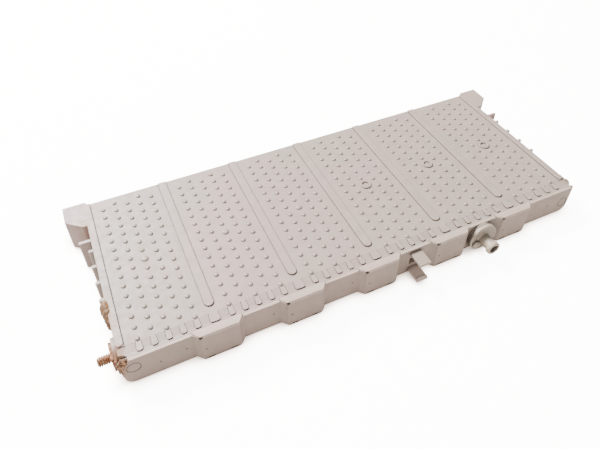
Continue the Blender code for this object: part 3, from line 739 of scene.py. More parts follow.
# %% Bosses, domes and rings
BOSS_RADIUS = 8.4 * MM
BOSS_PROUD = 1.9 * MM
SPACER_Y = 0.5 * MM
DOME = in_mm([(0, 0), (1.9, 0), (1.9, 0.75), (1.72, 1.0), (1.35, 1.18), (0.8, 1.28), (0, 1.3)])
RING = in_mm([(2.05, 0), (3.2, 0), (3.2, 1.1), (3.0, 1.3), (2.25, 1.3), (2.05, 1.1)])

bm = bmesh.new()
for axis in (-1, 1):
    profile = [(0, inner), (BOSS_RADIUS, inner), (BOSS_RADIUS, body_half + BOSS_PROUD)]
    profile.append((0, body_half + BOSS_PROUD))
    add_turned(bm, profile, (0, terminal_y, mid_height), (axis, 0, 0), 64)
soften(bm, 0.3 * MM)
carve(case, as_object("bosses", bm), "UNION")

bm = bmesh.new()
for start, end in both_faces():
    axis = (0, 0, math.copysign(1, end - start))
    for x in cell_centres:
        if x < 0:
            add_turned(bm, DOME, (x, SPACER_Y, start), axis, 32)
        else:
            add_turned(bm, RING, (x, SPACER_Y, start), axis, 40, closed=True)
carve(case, as_object("spacers", bm), "UNION")
print("bosses: 2, spacers:", 2 * len(cell_centres))

# %% [markdown]
# ### Along the lid
# Where the case meets the lid, a row of pads stops the welding tool. Between the pads the broad face slopes
# down to the level of the lid, and each pad ends in a round toe with a small step in front of it. Cutting the
# slopes and leaving the pads is simpler than adding pads to a lowered face.

# %% Pads and the wavy step
COLUMN_STEP = 6.69 * MM
PAD_FAR = lid_face + 7.8 * MM
PAD_WIDTHS = (2.2 * MM, 2.8 * MM)
RIB_PAD_WIDTHS = (4.2 * MM, 5.0 * MM)
STEP = 0.5 * MM
DIP = 0.04 * MM
TOE = 0.7 * MM
PIT_DEPTH = 0.45 * MM

pads = [(x, RIB_PAD_WIDTHS) for x in partitions]
for centre in cell_centres:
    pads += [(centre + column * COLUMN_STEP, PAD_WIDTHS) for column in range(-2, 3)]
pads.sort()
band_edge = outer - BAND_WIDTH
ends = [(-outer - MM, (0, 0)), (-band_edge, (0, 0))]
sloped = ends + pads + [(-x, widths) for x, widths in reversed(ends)]

bm = bmesh.new()
for level, outside in ((face_high, module_top + MM), (face_low, -MM)):
    inward = math.copysign(1, level - outside)
    for (x, widths), (next_x, next_widths) in zip(sloped, sloped[1:]):
        outline = [
            (x + widths[0] / 2, PAD_FAR),
            (next_x - next_widths[0] / 2, PAD_FAR),
            (next_x - next_widths[1] / 2, PAD_NEAR - 0.05 * MM),
            (x + widths[1] / 2, PAD_NEAR - 0.05 * MM),
        ]
        floor_face = add_prism(bm, outline, outside, level, "Z")
        for vert in floor_face.verts:
            part = (PAD_FAR - vert.co.y) / (PAD_FAR - PAD_NEAR)
            vert.co.z += inward * (DIP + (STEP - DIP) * min(1, part))
carve(case, as_object("slopes", bm), "DIFFERENCE")

bm = bmesh.new()
for level, outward in ((face_high, 1), (face_low, -1)):
    for x, widths in pads:
        for side in (-1, 1):
            near, far = x + side * widths[1] / 2, x + side * widths[0] / 2
            outline = [(near, PAD_NEAR), (far, PAD_FAR)]
            outline += [(far + side * GROOVE_WIDTH, PAD_FAR), (near + side * GROOVE_WIDTH, PAD_NEAR)]
            low = add_prism(bm, outline, level + outward * MM, level - outward * GROOVE_DEPTH, "Z")
            for vert in low.verts:
                vert.co.z -= outward * STEP * (PAD_FAR - vert.co.y) / (PAD_FAR - PAD_NEAR)
carve(case, as_object("pad_lines", bm), "DIFFERENCE")

bm = bmesh.new()
for level, outside in ((face_high, module_top + MM), (face_low, -MM)):
    inward = math.copysign(1, level - outside)
    low, high = sorted((level + inward * STEP, outside))
    add_box(bm, (-body_half - MM, case_rim - MM, low), (body_half + MM, PAD_NEAR, high))
carve(case, as_object("steps", bm), "DIFFERENCE")

bm = bmesh.new()
for level, outward in ((face_high, 1), (face_low, -1)):
    for x, widths in pads:
        reach = 0.36 * widths[1] + 0.12 * MM * math.sin(5 * x / MM)
        middle = x + 0.3 * MM * math.sin(3 * x / MM)
        near, far = PAD_NEAR - TOE - 0.35 * MM, PAD_NEAR - 0.1 * MM
        low, high = sorted((level - outward * (STEP + PIT_DEPTH), level + outward * MM))
        add_box(bm, (middle - reach, near, low), (middle + reach, far, high))
carve(case, as_object("pits", bm), "DIFFERENCE")

bm = bmesh.new()
for level, inward in ((face_high, -1), (face_low, 1)):
    for x, widths in pads:
        half = widths[1] / 2
        outline = [(x + half, PAD_NEAR + 0.5 * MM), (x - half, PAD_NEAR + 0.5 * MM)]
        for step in range(9):
            angle = math.pi + math.pi * step / 8
            outline.append((x + half * math.cos(angle), PAD_NEAR + TOE * math.sin(angle)))
        add_prism(bm, outline, level + inward * 0.8 * MM, level, "Z")
carve(case, as_object("toes", bm), "UNION")
print("pads:", len(pads), "on each face")

# %% [markdown]
# ### Hollows
# The six cell spaces are open towards the lid. Round holes let the rivets through the inner walls, stepped
# holes take the studs with their seals, and a pocket in each ear takes a threaded insert.

# %% Cell spaces and holes
HALF_CELL = (cell_pitch - 1.6 * MM) / 2

bm = bmesh.new()
for x in cell_centres:
    low = (x - HALF_CELL, case_rim - 2 * MM, face_low + face_wall)
    add_box(bm, low, (x + HALF_CELL, far_edge - bottom_wall, face_high - face_wall))
carve(case, as_object("cell_spaces", bm), "DIFFERENCE")

bm = bmesh.new()
for x in partitions:
    profile = in_mm([(0, -1.6), (3.4, -1.6), (3.4, 1.6), (0, 1.6)])
    add_turned(bm, profile, (x, terminal_y, mid_height), (1, 0, 0), 32)
boss_face = body_half + BOSS_PROUD
for side in (-1, 1):
    pocket = boss_face - 2.1 * MM
    profile = [(0, inner - 2.7 * MM), (2.8 * MM, inner - 2.7 * MM), (2.8 * MM, pocket)]
    profile += [(4.9 * MM, pocket), (4.9 * MM, boss_face + MM), (0, boss_face + MM)]
    add_turned(bm, profile, (0, terminal_y, mid_height), (side, 0, 0), 40)
carve(case, as_object("through_holes", bm), "DIFFERENCE")

EAR_MIDDLE = (body_half + case_high.x) / 2
bm = bmesh.new()
for side in (-1, 1):
    profile = in_mm([(0, -9.3), (3.7, -9.3), (3.7, -0.3), (4.1, 0.1), (4.1, 0.5), (0, 0.5)])
    add_turned(bm, profile, (side * EAR_MIDDLE, ear_top, mid_height), (0, 1, 0), 40)
carve(case, as_object("insert_pockets", bm), "DIFFERENCE")
print("case hollows cut")

# %% [markdown]
# ### Damage
# Corrosion has burst a piece off the corner by the left terminal. A lumpy ball, pushed in and out by a noise,
# cuts a break with no straight lines. `mathutils.noise` always gives the same values, so the break is the
# same on every run.

# %% Lumps and the broken corner
def add_lump(bm, centre, radii, depth, size, seed, subdivisions=4):
    """An egg-shaped lump whose surface a noise pushes in and out by up to a depth."""
    centre, radii = Vector(centre), Vector(radii)
    made = bmesh.ops.create_icosphere(bm, subdivisions=subdivisions, radius=1)["verts"]
    shift = Vector((seed * 7.1, seed * 3.7, seed * 5.3))
    for vert in made:
        way = vert.co.normalized()
        place = Vector([c * r for c, r in zip(way, radii)])
        push = noise.fractal(place / size + shift, 0.8, 2.0, 3)
        vert.co = centre + place + way * push * depth


def break_corner(piece, centre, radii):
    """Cuts a lump out of a piece."""
    bm = bmesh.new()
    add_lump(bm, centre, radii, 0.35 * MM, 1.6 * MM, 3, 3)
    carve(piece, as_object("break", bm), "DIFFERENCE")


burst = (-body_half + 0.6 * MM, case_rim - 0.9 * MM, module_top - 0.6 * MM)
break_corner(case, burst, (3.4 * MM, 3.0 * MM, 3.2 * MM))
print("case corner broken")

# %% [markdown]
# ### Dimples
# Nearly nine hundred small round knobs cover the two broad faces and stir the cooling air. Each is a closed
# dome of a few dozen faces that reaches a little way into the wall. Copying one small mesh into the bmesh
# again and again is fast, and a Boolean for each knob would take minutes and change nothing to be seen.

# %% Knobs on both faces
KNOB_RADIUS = 1.3 * MM
KNOB_HEIGHT = 0.68 * MM
ROW_PITCH = 6.207 * MM
ROWS = 15

bm = bmesh.new()
profile = [(1.0, -0.15), (1.0, 0.12), (0.9, 0.55), (0.55, 0.9), (0.0, 1.0)]
profile = [(radius * KNOB_RADIUS, level * KNOB_HEIGHT) for radius, level in profile]
add_turned(bm, profile, (0, 0, 0), (0, 0, 1), 10)
bmesh.ops.holes_fill(bm, edges=[edge for edge in bm.edges if edge.is_boundary])
bmesh.ops.recalc_face_normals(bm, faces=bm.faces)
knob = bpy.data.meshes.new("knob")
bm.to_mesh(knob)
bmesh.ops.rotate(bm, verts=bm.verts, cent=(0, 0, 0), matrix=Matrix.Rotation(math.pi, 3, "X"))
knob_below = bpy.data.meshes.new("knob_below")
bm.to_mesh(knob_below)
bm.free()

bm = bmesh.new()
bm.from_mesh(case.data)
count = 0
for shape, level in ((knob, face_high), (knob_below, face_low)):
    for centre in cell_centres:
        for column in range(-2, 3):
            shift = ROW_PITCH / 2 if column % 2 else 0
            for row in range(ROWS):
                y = 0.4 * MM + shift + (row - ROWS // 2) * ROW_PITCH
                if column == 0 and row == ROWS // 2:
                    continue
                first = len(bm.verts)
                bm.from_mesh(shape)
                bm.verts.ensure_lookup_table()
                place = (centre + column * COLUMN_STEP, y, level)
                bmesh.ops.translate(bm, verts=bm.verts[first:], vec=place)
                count += 1
bm.to_mesh(case.data)
bm.free()
print("knobs:", count)
present(case, case_grey, "case_plastic", "case")

# %% [markdown]
# ## The lid
# The lid is a thin plate with five hollow blocks that carry gas over the inner walls. The blocks stand proud
# of the plate with slanted sides, so the mould can open. The plate's upper edge is a little lower than the
# case, which is what makes the step and the toes of the pads stand out.

# %% Plate and blocks
BLOCK_WIDTH = 24.6 * MM
BLOCK_FRONT_WIDTH = 19.6 * MM
BLOCK_PROUD = 2.9 * MM
BLOCK_EDGE = 0.6 * MM
PLATE_EDGE = 0.4 * MM

bm = bmesh.new()
front = add_prism(bm, body_outline(0.0, STEP), lid_back, lid_face, "Y")
round_edges(bm, list(front.edges), PLATE_EDGE, 3)
lid = as_object("lid_shell", bm)

bm = bmesh.new()
for x in partitions:
    low, high = (x - BLOCK_WIDTH / 2, 0), (x + BLOCK_WIDTH / 2, module_top)
    outline = rounded_outline(low, high, 2.0 * MM, 1.0 * MM, 6)
    foot = add_prism(bm, outline, lid_back - lid_thickness / 4, lid_face, "Y")
    face = push_face(bm, foot, (0, -BLOCK_PROUD, 0))
    bm.faces.remove(foot)
    for vert in face.verts:
        vert.co.x = x + (vert.co.x - x) * BLOCK_FRONT_WIDTH / BLOCK_WIDTH
    round_edges(bm, list(face.edges), BLOCK_EDGE, 3)
carve(lid, as_object("blocks", bm), "UNION")
print("lid plate with", len(partitions), "blocks")

# %% [markdown]
# The vent's round boss stands over the fifth cell, with the valve chamber behind it. The two barbed tabs
# over the fourth cell grip a temperature sensor. They bend a little as it snaps in, but they are moulded in
# one with the lid.

# %% Vent boss, sensor tabs and their hollows
VENT_BOSS_RADIUS = 8.5 * MM
VENT_BOSS_PROUD = 1.2 * MM
CHAMBER_RADIUS = 4.8 * MM
CHAMBER_WALL = 1.4 * MM
CHAMBER_DEPTH = 4.5 * MM
TAB_REACH = 9.5 * MM
TAB_WIDTH = 6.8 * MM

vent = Vector((cell_centres[4], 0, mid_height))
sensor_x = cell_centres[3]
vent_mouth = -lid_face + VENT_BOSS_PROUD
chamber_floor = -lid_face - CHAMBER_DEPTH

bm = bmesh.new()
root = -lid_face - 0.9 * MM
inner_end = chamber_floor - 1.3 * MM
outside = CHAMBER_RADIUS + CHAMBER_WALL
profile = [(0, inner_end), (outside, inner_end), (outside, root), (VENT_BOSS_RADIUS, root)]
profile += [(VENT_BOSS_RADIUS, vent_mouth - 0.2 * MM), (VENT_BOSS_RADIUS - 0.2 * MM, vent_mouth)]
profile.append((0, vent_mouth))
add_turned(bm, profile, vent, (0, -1, 0), 64)
carve(lid, as_object("vent_boss", bm), "UNION")

bm = bmesh.new()
for side in (-1, 1):
    root, end = lid_face + lid_thickness / 2, lid_face - TAB_REACH
    outline = [(root, 5.45), (end + 1.75 * MM, 5.45), (end + 1.4 * MM, 4.75)]
    outline += [(end, 5.8), (end, 7.05), (root, 7.05)]
    placed = [(y, mid_height + side * z * MM) for y, z in outline]
    add_prism(bm, placed, sensor_x - TAB_WIDTH / 2, sensor_x + TAB_WIDTH / 2, "X")
soften(bm, 0.25 * MM, from_angle=25)
carve(lid, as_object("tabs", bm), "UNION")

bm = bmesh.new()
low = Vector((sensor_x - 4.3 * MM, lid_face + 0.9 * MM, mid_height - 3.5 * MM))
add_box(bm, low, (sensor_x + 4.3 * MM, lid_face + 5.8 * MM, mid_height + 3.5 * MM))
carve(lid, as_object("sensor_sleeve", bm), "UNION")
print("boss and tabs joined")

# %% [markdown]
# Now the hollows: the gas passages behind the blocks, the valve chamber with its raised seat, the well for
# the sensor's tip, and the small notches along the lower front edge of each block.

# %% Hollows of the lid
bm = bmesh.new()
half = 8.75 * MM
for x in partitions:
    low = (x - half, lid_face - 0.8 * MM, face_low + 2.1 * MM)
    add_box(bm, low, (x + half, lid_back + MM, face_high - 2.1 * MM))
low = (sensor_x - 3.1 * MM, lid_face - MM, mid_height - 2.3 * MM)
add_box(bm, low, (sensor_x + 3.1 * MM, lid_face + 4.6 * MM, mid_height + 2.3 * MM))
carve(lid, as_object("passages", bm), "DIFFERENCE")

bm = bmesh.new()
seat, passage = chamber_floor + 0.5 * MM, chamber_floor - 2.6 * MM
profile = [(0, vent_mouth + MM), (CHAMBER_RADIUS, vent_mouth + MM), (CHAMBER_RADIUS, chamber_floor)]
profile += [(2.4 * MM, chamber_floor), (2.4 * MM, seat), (1.3 * MM, seat), (1.3 * MM, passage), (0, passage)]
add_turned(bm, profile, vent, (0, -1, 0), 40)
carve(lid, as_object("valve_chamber", bm), "DIFFERENCE")

NOTCH_SPREAD = 5.5 * MM
NOTCH_HALF = 1.6 * MM
NOTCH_DEPTH = 2.2 * MM

bm = bmesh.new()
block_front = lid_face - BLOCK_PROUD
for x in partitions:
    for side in (-1, 1):
        middle = x + side * NOTCH_SPREAD
        low = (middle - NOTCH_HALF, block_front - MM, 0.55 * MM)
        add_box(bm, low, (middle + NOTCH_HALF, block_front + NOTCH_DEPTH, 1.6 * MM))
carve(lid, as_object("notches", bm), "DIFFERENCE")
print("lid hollows cut")

# %% [markdown]
# Last come the marks of moulding and wear: a shallow round print of an ejector pin near each end, pin pricks
# where the plastic sank, and a nick at one corner of each block where the gate was cut off.

# %% Marks on the lid
PIN_MARK_X = 126.5 * MM
PIN_MARK_RISE = {-1: 2.4 * MM, 1: -1.2 * MM}
PRICK_RADIUS = 0.5 * MM

bm = bmesh.new()
for side in (-1, 1):
    centre = (side * PIN_MARK_X, 0, mid_height + PIN_MARK_RISE[side])
    profile = [(2.95, -0.3), (3.4, -0.3), (3.4, 1.0), (2.95, 1.0)]
    profile = [(radius * MM, -lid_face + level * MM) for radius, level in profile]
    add_turned(bm, profile, centre, (0, -1, 0), 40, closed=True)
carve(lid, as_object("pin_marks", bm), "DIFFERENCE")

bm = bmesh.new()
bare_cells = [x for x in cell_centres if x not in (vent.x, sensor_x)]
pricks = [(x + 5.8 * MM, lid_face, mid_height + 0.9 * MM) for x in bare_cells]
pricks += [(x - 7.4 * MM, block_front, mid_height - 0.9 * MM) for x in partitions]
pricks.append((cell_centres[0] - 6.5 * MM, lid_face, mid_height - 1.2 * MM))
for place in pricks:
    bmesh.ops.create_icosphere(bm, subdivisions=2, radius=PRICK_RADIUS, matrix=Matrix.Translation(place))
for x in partitions:
    nick = (x - BLOCK_FRONT_WIDTH / 2 + 0.6 * MM, block_front + 0.3 * MM, module_top - 0.9 * MM)
    add_lump(bm, nick, (1.1 * MM, 1.1 * MM, 0.9 * MM), 0.3 * MM, 0.8 * MM, 100 * x, 2)
carve(lid, as_object("pricks", bm), "DIFFERENCE")
burst = (-body_half + 0.3 * MM, lid_face + 1.2 * MM, module_top - 0.4 * MM)
break_corner(lid, burst, (3.5 * MM, 2.4 * MM, 4.4 * MM))
present(lid, lid_grey, "lid_plastic", "lid")

# %% [markdown]
# ## The weld
# The case and lid were both heated and pressed together, which squeezed a bead of plastic out of the joint.
# A curve with a round bevel makes the bead, and small changes of its radius along the way make it uneven,
# as a real one is.

# %% Weld bead
BEAD_RADIUS = 0.26 * MM
BEAD_SPACING = 1.5 * MM

random.seed(11)
outline = [Vector((x, z)) for x, z in body_outline(0.2 * MM, STEP + 0.2 * MM)]
route = []
for here, there in zip(outline, outline[1:] + outline[:1]):
    parts = max(1, round((there - here).length / BEAD_SPACING))
    route += [here.lerp(there, part / parts) for part in range(parts)]
curve = bpy.data.curves.new("weld_bead", "CURVE")
curve.dimensions = "3D"
curve.bevel_depth = BEAD_RADIUS
curve.bevel_resolution = 2
spline = curve.splines.new("POLY")
spline.points.add(len(route) - 1)
spline.use_cyclic_u = True
for point, (x, z) in zip(spline.points, route):
    point.co = (x, (case_rim + lid_back) / 2, z, 1)
    point.radius = random.uniform(0.8, 1.25)
bead_curve = bpy.data.objects.new("bead_curve", curve)
bpy.context.scene.collection.objects.link(bead_curve)
bead_mesh = bpy.data.meshes.new_from_object(bead_curve.evaluated_get(bpy.context.evaluated_depsgraph_get()))
bpy.data.objects.remove(bead_curve)
bead = bpy.data.objects.new("weld_bead", bead_mesh)
bpy.context.scene.collection.objects.link(bead)
present(bead, case_grey, "case_plastic")

# %% [markdown]
# ## The vent nozzle
# The nozzle is a separate moulding in a slightly paler plastic, welded over the valve chamber. It is turned
# from one profile: a flange, a tube, and a thick lip that keeps the hose on. A round pad beside the tube
# marks where the plastic was fed in.

# %% Flange, tube and lip
FLANGE_RADIUS = 8.7 * MM
TUBE_RADIUS = 3.3 * MM
TUBE_BORE = 2.5 * MM
LIP_RADIUS = 4.0 * MM
COLLAR_INNER = 4.0 * MM
COLLAR_OUTER = 4.5 * MM
COLLAR_DEPTH = 1.3 * MM

back = vent_mouth + clearance
front = back + 2.0 * MM
end = front + 9.0 * MM
lip = end - 2.4 * MM
bm = bmesh.new()
profile = [
    (TUBE_BORE, back),
    (COLLAR_INNER, back),
    (COLLAR_INNER, back - COLLAR_DEPTH),
    (COLLAR_OUTER, back - COLLAR_DEPTH),
    (COLLAR_OUTER, back),
    (FLANGE_RADIUS, back),
    (FLANGE_RADIUS, front - 0.4 * MM),
    (FLANGE_RADIUS - 0.12 * MM, front - 0.12 * MM),
    (FLANGE_RADIUS - 0.4 * MM, front),
    (FLANGE_RADIUS - 1.1 * MM, front),
    (FLANGE_RADIUS - 1.5 * MM, front - 0.4 * MM),
    (TUBE_RADIUS + 1.0 * MM, front - 0.4 * MM),
    (TUBE_RADIUS + 0.4 * MM, front - 0.1 * MM),
    (TUBE_RADIUS + 0.2 * MM, front + 0.2 * MM),
    (TUBE_RADIUS, front + 0.6 * MM),
    (TUBE_RADIUS, lip - 0.6 * MM),
    (LIP_RADIUS - 0.15 * MM, lip - 0.1 * MM),
    (LIP_RADIUS, lip + 0.1 * MM),
    (LIP_RADIUS, end - 0.5 * MM),
    (LIP_RADIUS - 0.2 * MM, end - 0.12 * MM),
    (LIP_RADIUS - 0.5 * MM, end),
    (TUBE_BORE + 0.2 * MM, end),
    (TUBE_BORE, end - 0.2 * MM),
]
add_turned(bm, profile, vent, (0, -1, 0), 72, closed=True)
nozzle = as_object("hose_nozzle", bm)
bm = bmesh.new()
angle = math.radians(221)
place = vent + Vector((math.cos(angle), 0, math.sin(angle))) * 5.2 * MM
profile = [(0, front - 0.5 * MM), (2.6 * MM, front - 0.5 * MM), (2.6 * MM, front + 0.6 * MM)]
profile += [(2.3 * MM, front + 0.9 * MM), (0, front + 0.9 * MM)]
add_turned(bm, profile, place, (0, -1, 0), 40)
carve(nozzle, as_object("nozzle_pad", bm), "UNION")
present(nozzle, vent_grey, "vent_plastic", "vent_nozzle")

# %% [markdown]
# ## Terminals
# Each stud is turned with a wide head inside the case. Its thread is a true helix: one blunt tooth is spun
# round the axis while it moves along it, which sweeps out a closed ridge. The left stud has been eaten away,
# so a noise pushes its ridge in and out, and the right one is still fairly clean.

# %% Studs with helical threads
STUD_RADIUS = 2.5 * MM
STUD_ROOT = 1.9 * MM
STUD_HEAD_RADIUS = 4.5 * MM
STUD_HEAD_THICKNESS = 1.0 * MM
STUD_PITCH = 1.05 * MM
STEPS_PER_TURN = 32
PLATE_THICKNESS = 1.2 * MM
PLATE_HALF = 5.3 * MM
washer_out = boss_face + clearance + PLATE_THICKNESS
stud_end = washer_out + 6.3 * MM


def make_stud(side, wear):
    """A stud on one end wall. Wear is how deeply corrosion has eaten its thread."""
    axis = Vector((side, 0, 0))
    place = Vector((0, terminal_y, mid_height))
    head = body_half - end_wall - clearance
    bm = bmesh.new()
    inner_face = head - STUD_HEAD_THICKNESS
    profile = [(0, inner_face), (STUD_HEAD_RADIUS, inner_face), (STUD_HEAD_RADIUS, head), (STUD_RADIUS, head)]
    profile += [(STUD_RADIUS, washer_out), (STUD_ROOT, washer_out + 0.4 * MM)]
    profile += [(STUD_ROOT, stud_end - 0.4 * MM), (STUD_ROOT - 0.4 * MM, stud_end), (0, stud_end)]
    add_turned(bm, profile, place, axis, STEPS_PER_TURN)
    turns = int((stud_end - washer_out - 0.8 * MM) / STUD_PITCH)
    start = washer_out + 0.1 * MM
    section = [(STUD_ROOT - 0.1 * MM, 0), (STUD_RADIUS, 0.4 * MM), (STUD_RADIUS, 0.55 * MM)]
    section.append((STUD_ROOT - 0.1 * MM, 0.95 * MM))
    corners = [bm.verts.new(place + Vector((0, 0, r)) + axis * (start + d)) for r, d in section]
    face = bm.faces.new(corners)
    bmesh.ops.spin(
        bm,
        geom=[face],
        cent=place,
        axis=axis,
        dvec=axis * STUD_PITCH / STEPS_PER_TURN,
        angle=2 * math.pi * turns,
        steps=STEPS_PER_TURN * turns,
        use_merge=False,
        use_duplicate=False,
    )
    for vert in bm.verts:
        out = vert.co - place
        if abs(out.x) < washer_out:
            continue
        out.x = 0
        push = noise.fractal(vert.co / (0.9 * MM), 0.8, 2.0, 3)
        vert.co += out * push * wear
    return as_object("stud_" + ("left" if side < 0 else "right"), bm)


stud_left = make_stud(-1, 0.06)
present(stud_left, stud_rust, "stud_metal", "terminal_stud_left", sharp=75)
stud_right = make_stud(1, 0.02)
present(stud_right, dull_steel, "stud_metal", "terminal_stud_right", sharp=75)

# %% [markdown]
# The square contact plates round the studs have rusted hardest. Each starts as a box with a fine mesh, a
# noise eats its outline and pits its face, and the hole for the stud is cut last so that it stays round.

# %% Rusted contact plates
def make_plate(side, wear, seed):
    """A square contact plate on one terminal, with its outline eaten by rust."""
    near = boss_face + clearance
    low, high = sorted((side * near, side * (near + PLATE_THICKNESS)))
    half = PLATE_HALF - wear
    bm = bmesh.new()
    add_box(bm, (low, terminal_y - half, mid_height - half), (high, terminal_y + half, mid_height + half))
    bmesh.ops.subdivide_edges(bm, edges=bm.edges, cuts=14, use_grid_fill=True)
    soften(bm, 0.12 * MM, segments=1)
    for vert in bm.verts:
        out = Vector((0, vert.co.y - terminal_y, vert.co.z - mid_height))
        push = noise.fractal(vert.co / (1.8 * MM) + Vector((seed, 0, 0)), 0.8, 2.0, 3)
        vert.co += out * push * wear / half
        if abs(vert.co.x) > near + PLATE_THICKNESS / 2:
            vert.co.x += side * min(push, 0) * wear * 0.5
    plate = as_object("contact_plate_" + ("left" if side < 0 else "right"), bm)
    bm = bmesh.new()
    profile = [(0, near - MM), (2.8 * MM, near - MM), (2.8 * MM, near + 3 * MM), (0, near + 3 * MM)]
    add_turned(bm, profile, (0, terminal_y, mid_height), (side, 0, 0), 32)
    carve(plate, as_object("plate_hole", bm), "DIFFERENCE")
    return plate


present(make_plate(-1, 0.5 * MM, 4), plate_rust, "washer_metal", "terminal_washer_left", sharp=60)
present(make_plate(1, 0.25 * MM, 9), plate_rust, "washer_metal", "terminal_washer_right", sharp=60)

# %% [markdown]
# ## Crust and dried electrolyte
# Corrosion products fill the broken corner and cling round the left terminal, and two crumbs sit at the
# right one. Further along the left wall, a drip of electrolyte dried into a long orange blister. All are
# groups of lumps that sink into each other and reach a little way into the wall they cling to.

# %% Crust at the terminals
bm = bmesh.new()
left_lumps = [
    ((1.2, -0.6, -3.5), (2.2, 1.7, 1.3)),
    ((2.0, -1.5, -3.1), (1.3, 0.7, 1.1)),
    ((0.5, -0.4, -4.6), (1.9, 1.7, 2.4)),
    ((-0.9, 3.6, -5.4), (1.1, 2.2, 2.6)),
    ((-0.4, 0.6, -7.4), (0.8, 1.8, 3.6)),
    ((0.0, -1.0, -11.0), (0.35, 0.7, 3.4)),
]
for index, (place, radii) in enumerate(left_lumps):
    centre = Vector((-body_half, case_rim, module_top)) + Vector(place) * MM
    add_lump(bm, centre, Vector(radii) * MM, 0.75 * MM, 0.9 * MM, index + 1)
present(as_object("terminal_crust_left", bm), crust, "washer_metal", sharp=75)

bm = bmesh.new()
right_lumps = [((0.7, 4.4, -1.0), (0.7, 1.0, 0.7)), ((0.6, -0.6, -2.0), (0.6, 0.8, 0.9))]
for index, (place, radii) in enumerate(right_lumps):
    centre = Vector((body_half, case_rim, module_top)) + Vector(place) * MM
    add_lump(bm, centre, Vector(radii) * MM, 0.25 * MM, 0.8 * MM, index + 11, 3)
present(as_object("terminal_crust_right", bm), crust, "washer_metal", sharp=75)

# %% Dried drip on the left end wall
bm = bmesh.new()
drip_lumps = [((-0.4, -20.0, 16.2), (2.9, 5.0, 4.2)), ((-0.2, -23.6, 16.0), (2.5, 4.6, 4.1))]
drip_lumps.append(((-0.4, -27.6, 15.0), (1.5, 2.2, 3.4)))
for index, (place, radii) in enumerate(drip_lumps):
    centre = Vector((-body_half, 0, 0)) + Vector(place) * MM
    add_lump(bm, centre, Vector(radii) * MM, 0.4 * MM, 2.2 * MM, index + 21)
present(as_object("dried_drip", bm), residue, "case_plastic", sharp=75)

# %% [markdown]
# ## Threaded inserts
# Brass inserts were pressed into the ears. What shows is a chamfered ring with a thread inside. The grooves
# round the outside hold it in the plastic.

# %% Inserts
THREAD_PITCH = 0.8 * MM


def make_insert(side):
    """A brass insert with grooves outside and a thread inside."""
    bm = bmesh.new()
    bore, crest, depth = 2.35 * MM, 2.05 * MM, 8.0 * MM
    profile = [(0, -9.0), (2.9, -9.0), (3.4, -8.5), (3.4, -6.5), (2.9, -6.0), (3.4, -5.5), (3.4, -3.5)]
    profile += [(2.9, -3.0), (3.4, -2.5), (3.4, -0.2), (3.2, 0.0), (2.7, 0.0)]
    profile = in_mm(profile)
    turns = int((depth - 0.6 * MM) / THREAD_PITCH)
    for turn in range(turns):
        level = -0.3 * MM - turn * THREAD_PITCH
        profile += [(bore, level), (crest, level - THREAD_PITCH / 2)]
    profile += [(crest, -depth), (0, -depth)]
    add_turned(bm, profile, (side * EAR_MIDDLE, ear_top, mid_height), (0, 1, 0), 40)
    return as_object("threaded_insert_" + ("left" if side < 0 else "right"), bm)


for side, word in ((-1, "left"), (1, "right")):
    present(make_insert(side), bright_brass, "brass", "mounting_insert_" + word)

# %% [markdown]
# ## Carried-over nodes
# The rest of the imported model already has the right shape. Only its finishes change, by putting a material in
# each object's slots.

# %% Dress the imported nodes
dress = {
    "positive_plates": positive_paste,
    "negative_plates": negative_powder,
    "separator": white_felt,
    "cell_connector": bright_nickel,
    "connector_seal": rubber,
    "terminal_seal": rubber,
    "safety_valve": rubber,
}
dressed = 0
for name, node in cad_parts.items():
    for start, material in dress.items():
        if name.startswith(start):
            for slot in node.material_slots:
                slot.material = material
            dressed += 1
print("nodes with new finishes:", dressed)

# %% [markdown]
# ## Floor and light
# The module lies on a white sheet that is lit so strongly that it comes out nearly pure white. A sheet as
# bright as that would also light the module from below and wash out its front. So there are two sheets: the
# one that the camera sees doesn't pass its light on, and a duller one just under it glows softly and lights
# the front of the lid evenly down to its lower edge. Both count as the stage and not as the object.

# %% Floor
FLOOR_SIZE = 6.0
SHADE_REACH = 7 * MM
CONTACT_SHADES = [
    (0.3, (0.05, 0.035, 0.03)),
    (0.5, (0.25, 0.2, 0.17)),
    (0.75, (0.8, 0.76, 0.72)),
    (0.97, (1, 1, 1)),
]


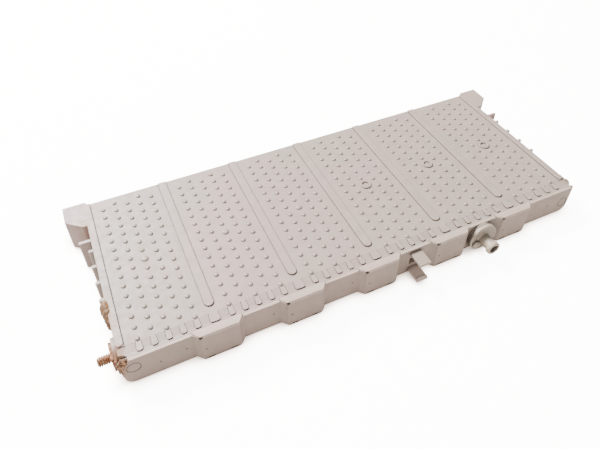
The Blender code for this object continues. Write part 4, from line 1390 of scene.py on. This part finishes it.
def make_sheet(name, height, colour, glow, strength):
    """A large flat sheet with a faint paper mottling, which glows by itself, its glow darkened into a painted
    contact shadow where something stands close above it.
    """
    bm = bmesh.new()
    bmesh.ops.create_grid(bm, x_segments=1, y_segments=1, size=FLOOR_SIZE / 2)
    sheet = as_object(name, bm)
    sheet.location.z = height
    finish = Finish(name, Roughness=0.95)
    # Painted contact shadow: the glow is darkened by CONTACT_SHADES wherever the occlusion node finds the
    # module close above the sheet.
    shade = finish.ramp(finish.corners(SHADE_REACH), CONTACT_SHADES)
    finish.drive("Emission Color", finish.mix(1.0, glow, shade, "MULTIPLY"))
    finish.shader.inputs["Emission Strength"].default_value = strength
    paper = finish.stretch(finish.noise(6, 3), 0.3, 0.7, 0.98, 1.02)
    finish.drive("Base Color", finish.mix(1.0, colour, paper, "MULTIPLY"))
    sheet.data.materials.append(finish.material)
    sheet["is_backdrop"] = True
    return sheet


floor = make_sheet("white_sheet", -0.02 * MM, (0.9, 0.87, 0.84), (1.0, 0.998, 0.99), 11.0)
floor.visible_diffuse = False
floor.visible_glossy = False
floor.visible_shadow = False
bounce = make_sheet("bounce_sheet", -0.04 * MM, (0.3, 0.27, 0.24), (1.0, 0.9, 0.83), 1.6)
bounce.visible_camera = False
print("floor and bounce sheet")

# %% [markdown]
# One large soft lamp stands high behind the far edge and leaves a small dark crescent in front of every knob.
# A weak one in front lifts the lid and draws a thin light line along its edges, which the highlight painted on
# the lid's upper strip makes stronger, and the sky fills the rest.

# %% Lights
KEY_PLACE = Vector((-0.55, 1.25, 1.35))
KEY_SIZE = 0.8
KEY_POWER = 212
FILL_PLACE = Vector((-0.5, -1.3, 0.9))
FILL_SIZE = 0.7
FILL_POWER = 16
SKY_STRENGTH = 0.52


def add_lamp(name, place, size, power, colour):
    """A round soft lamp that points at the module."""
    data = bpy.data.lights.new(name, "AREA")
    data.shape = "DISK"
    data.size = size
    data.energy = power
    data.color = colour
    lamp = bpy.data.objects.new(name, data)
    lamp.location = place
    lamp.rotation_euler = (-place).to_track_quat("-Z", "Y").to_euler()
    bpy.context.scene.collection.objects.link(lamp)


add_lamp("key", KEY_PLACE, KEY_SIZE, KEY_POWER, (1.0, 0.95, 0.92))
add_lamp("fill", FILL_PLACE, FILL_SIZE, FILL_POWER, (1.0, 0.95, 0.91))
sky = bpy.data.worlds.new("sky")
sky.use_nodes = True
background = sky.node_tree.nodes["Background"]
background.inputs["Color"].default_value = (0.98, 0.985, 1.0, 1)
background.inputs["Strength"].default_value = SKY_STRENGTH
bpy.context.scene.world = sky
print("two lamps and a soft sky")

# %% [markdown]
# ## Sizes at the end
# Both boxes are printed: the imported model's and the one of what is now shown.

# %% Print both sizes
shown_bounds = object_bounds()
for word, (low, high) in (("packed", cad_bounds), ("shown", shown_bounds)):
    print(word, "size in mm:", [round(1000 * (b - a), 2) for a, b in zip(low, high)])
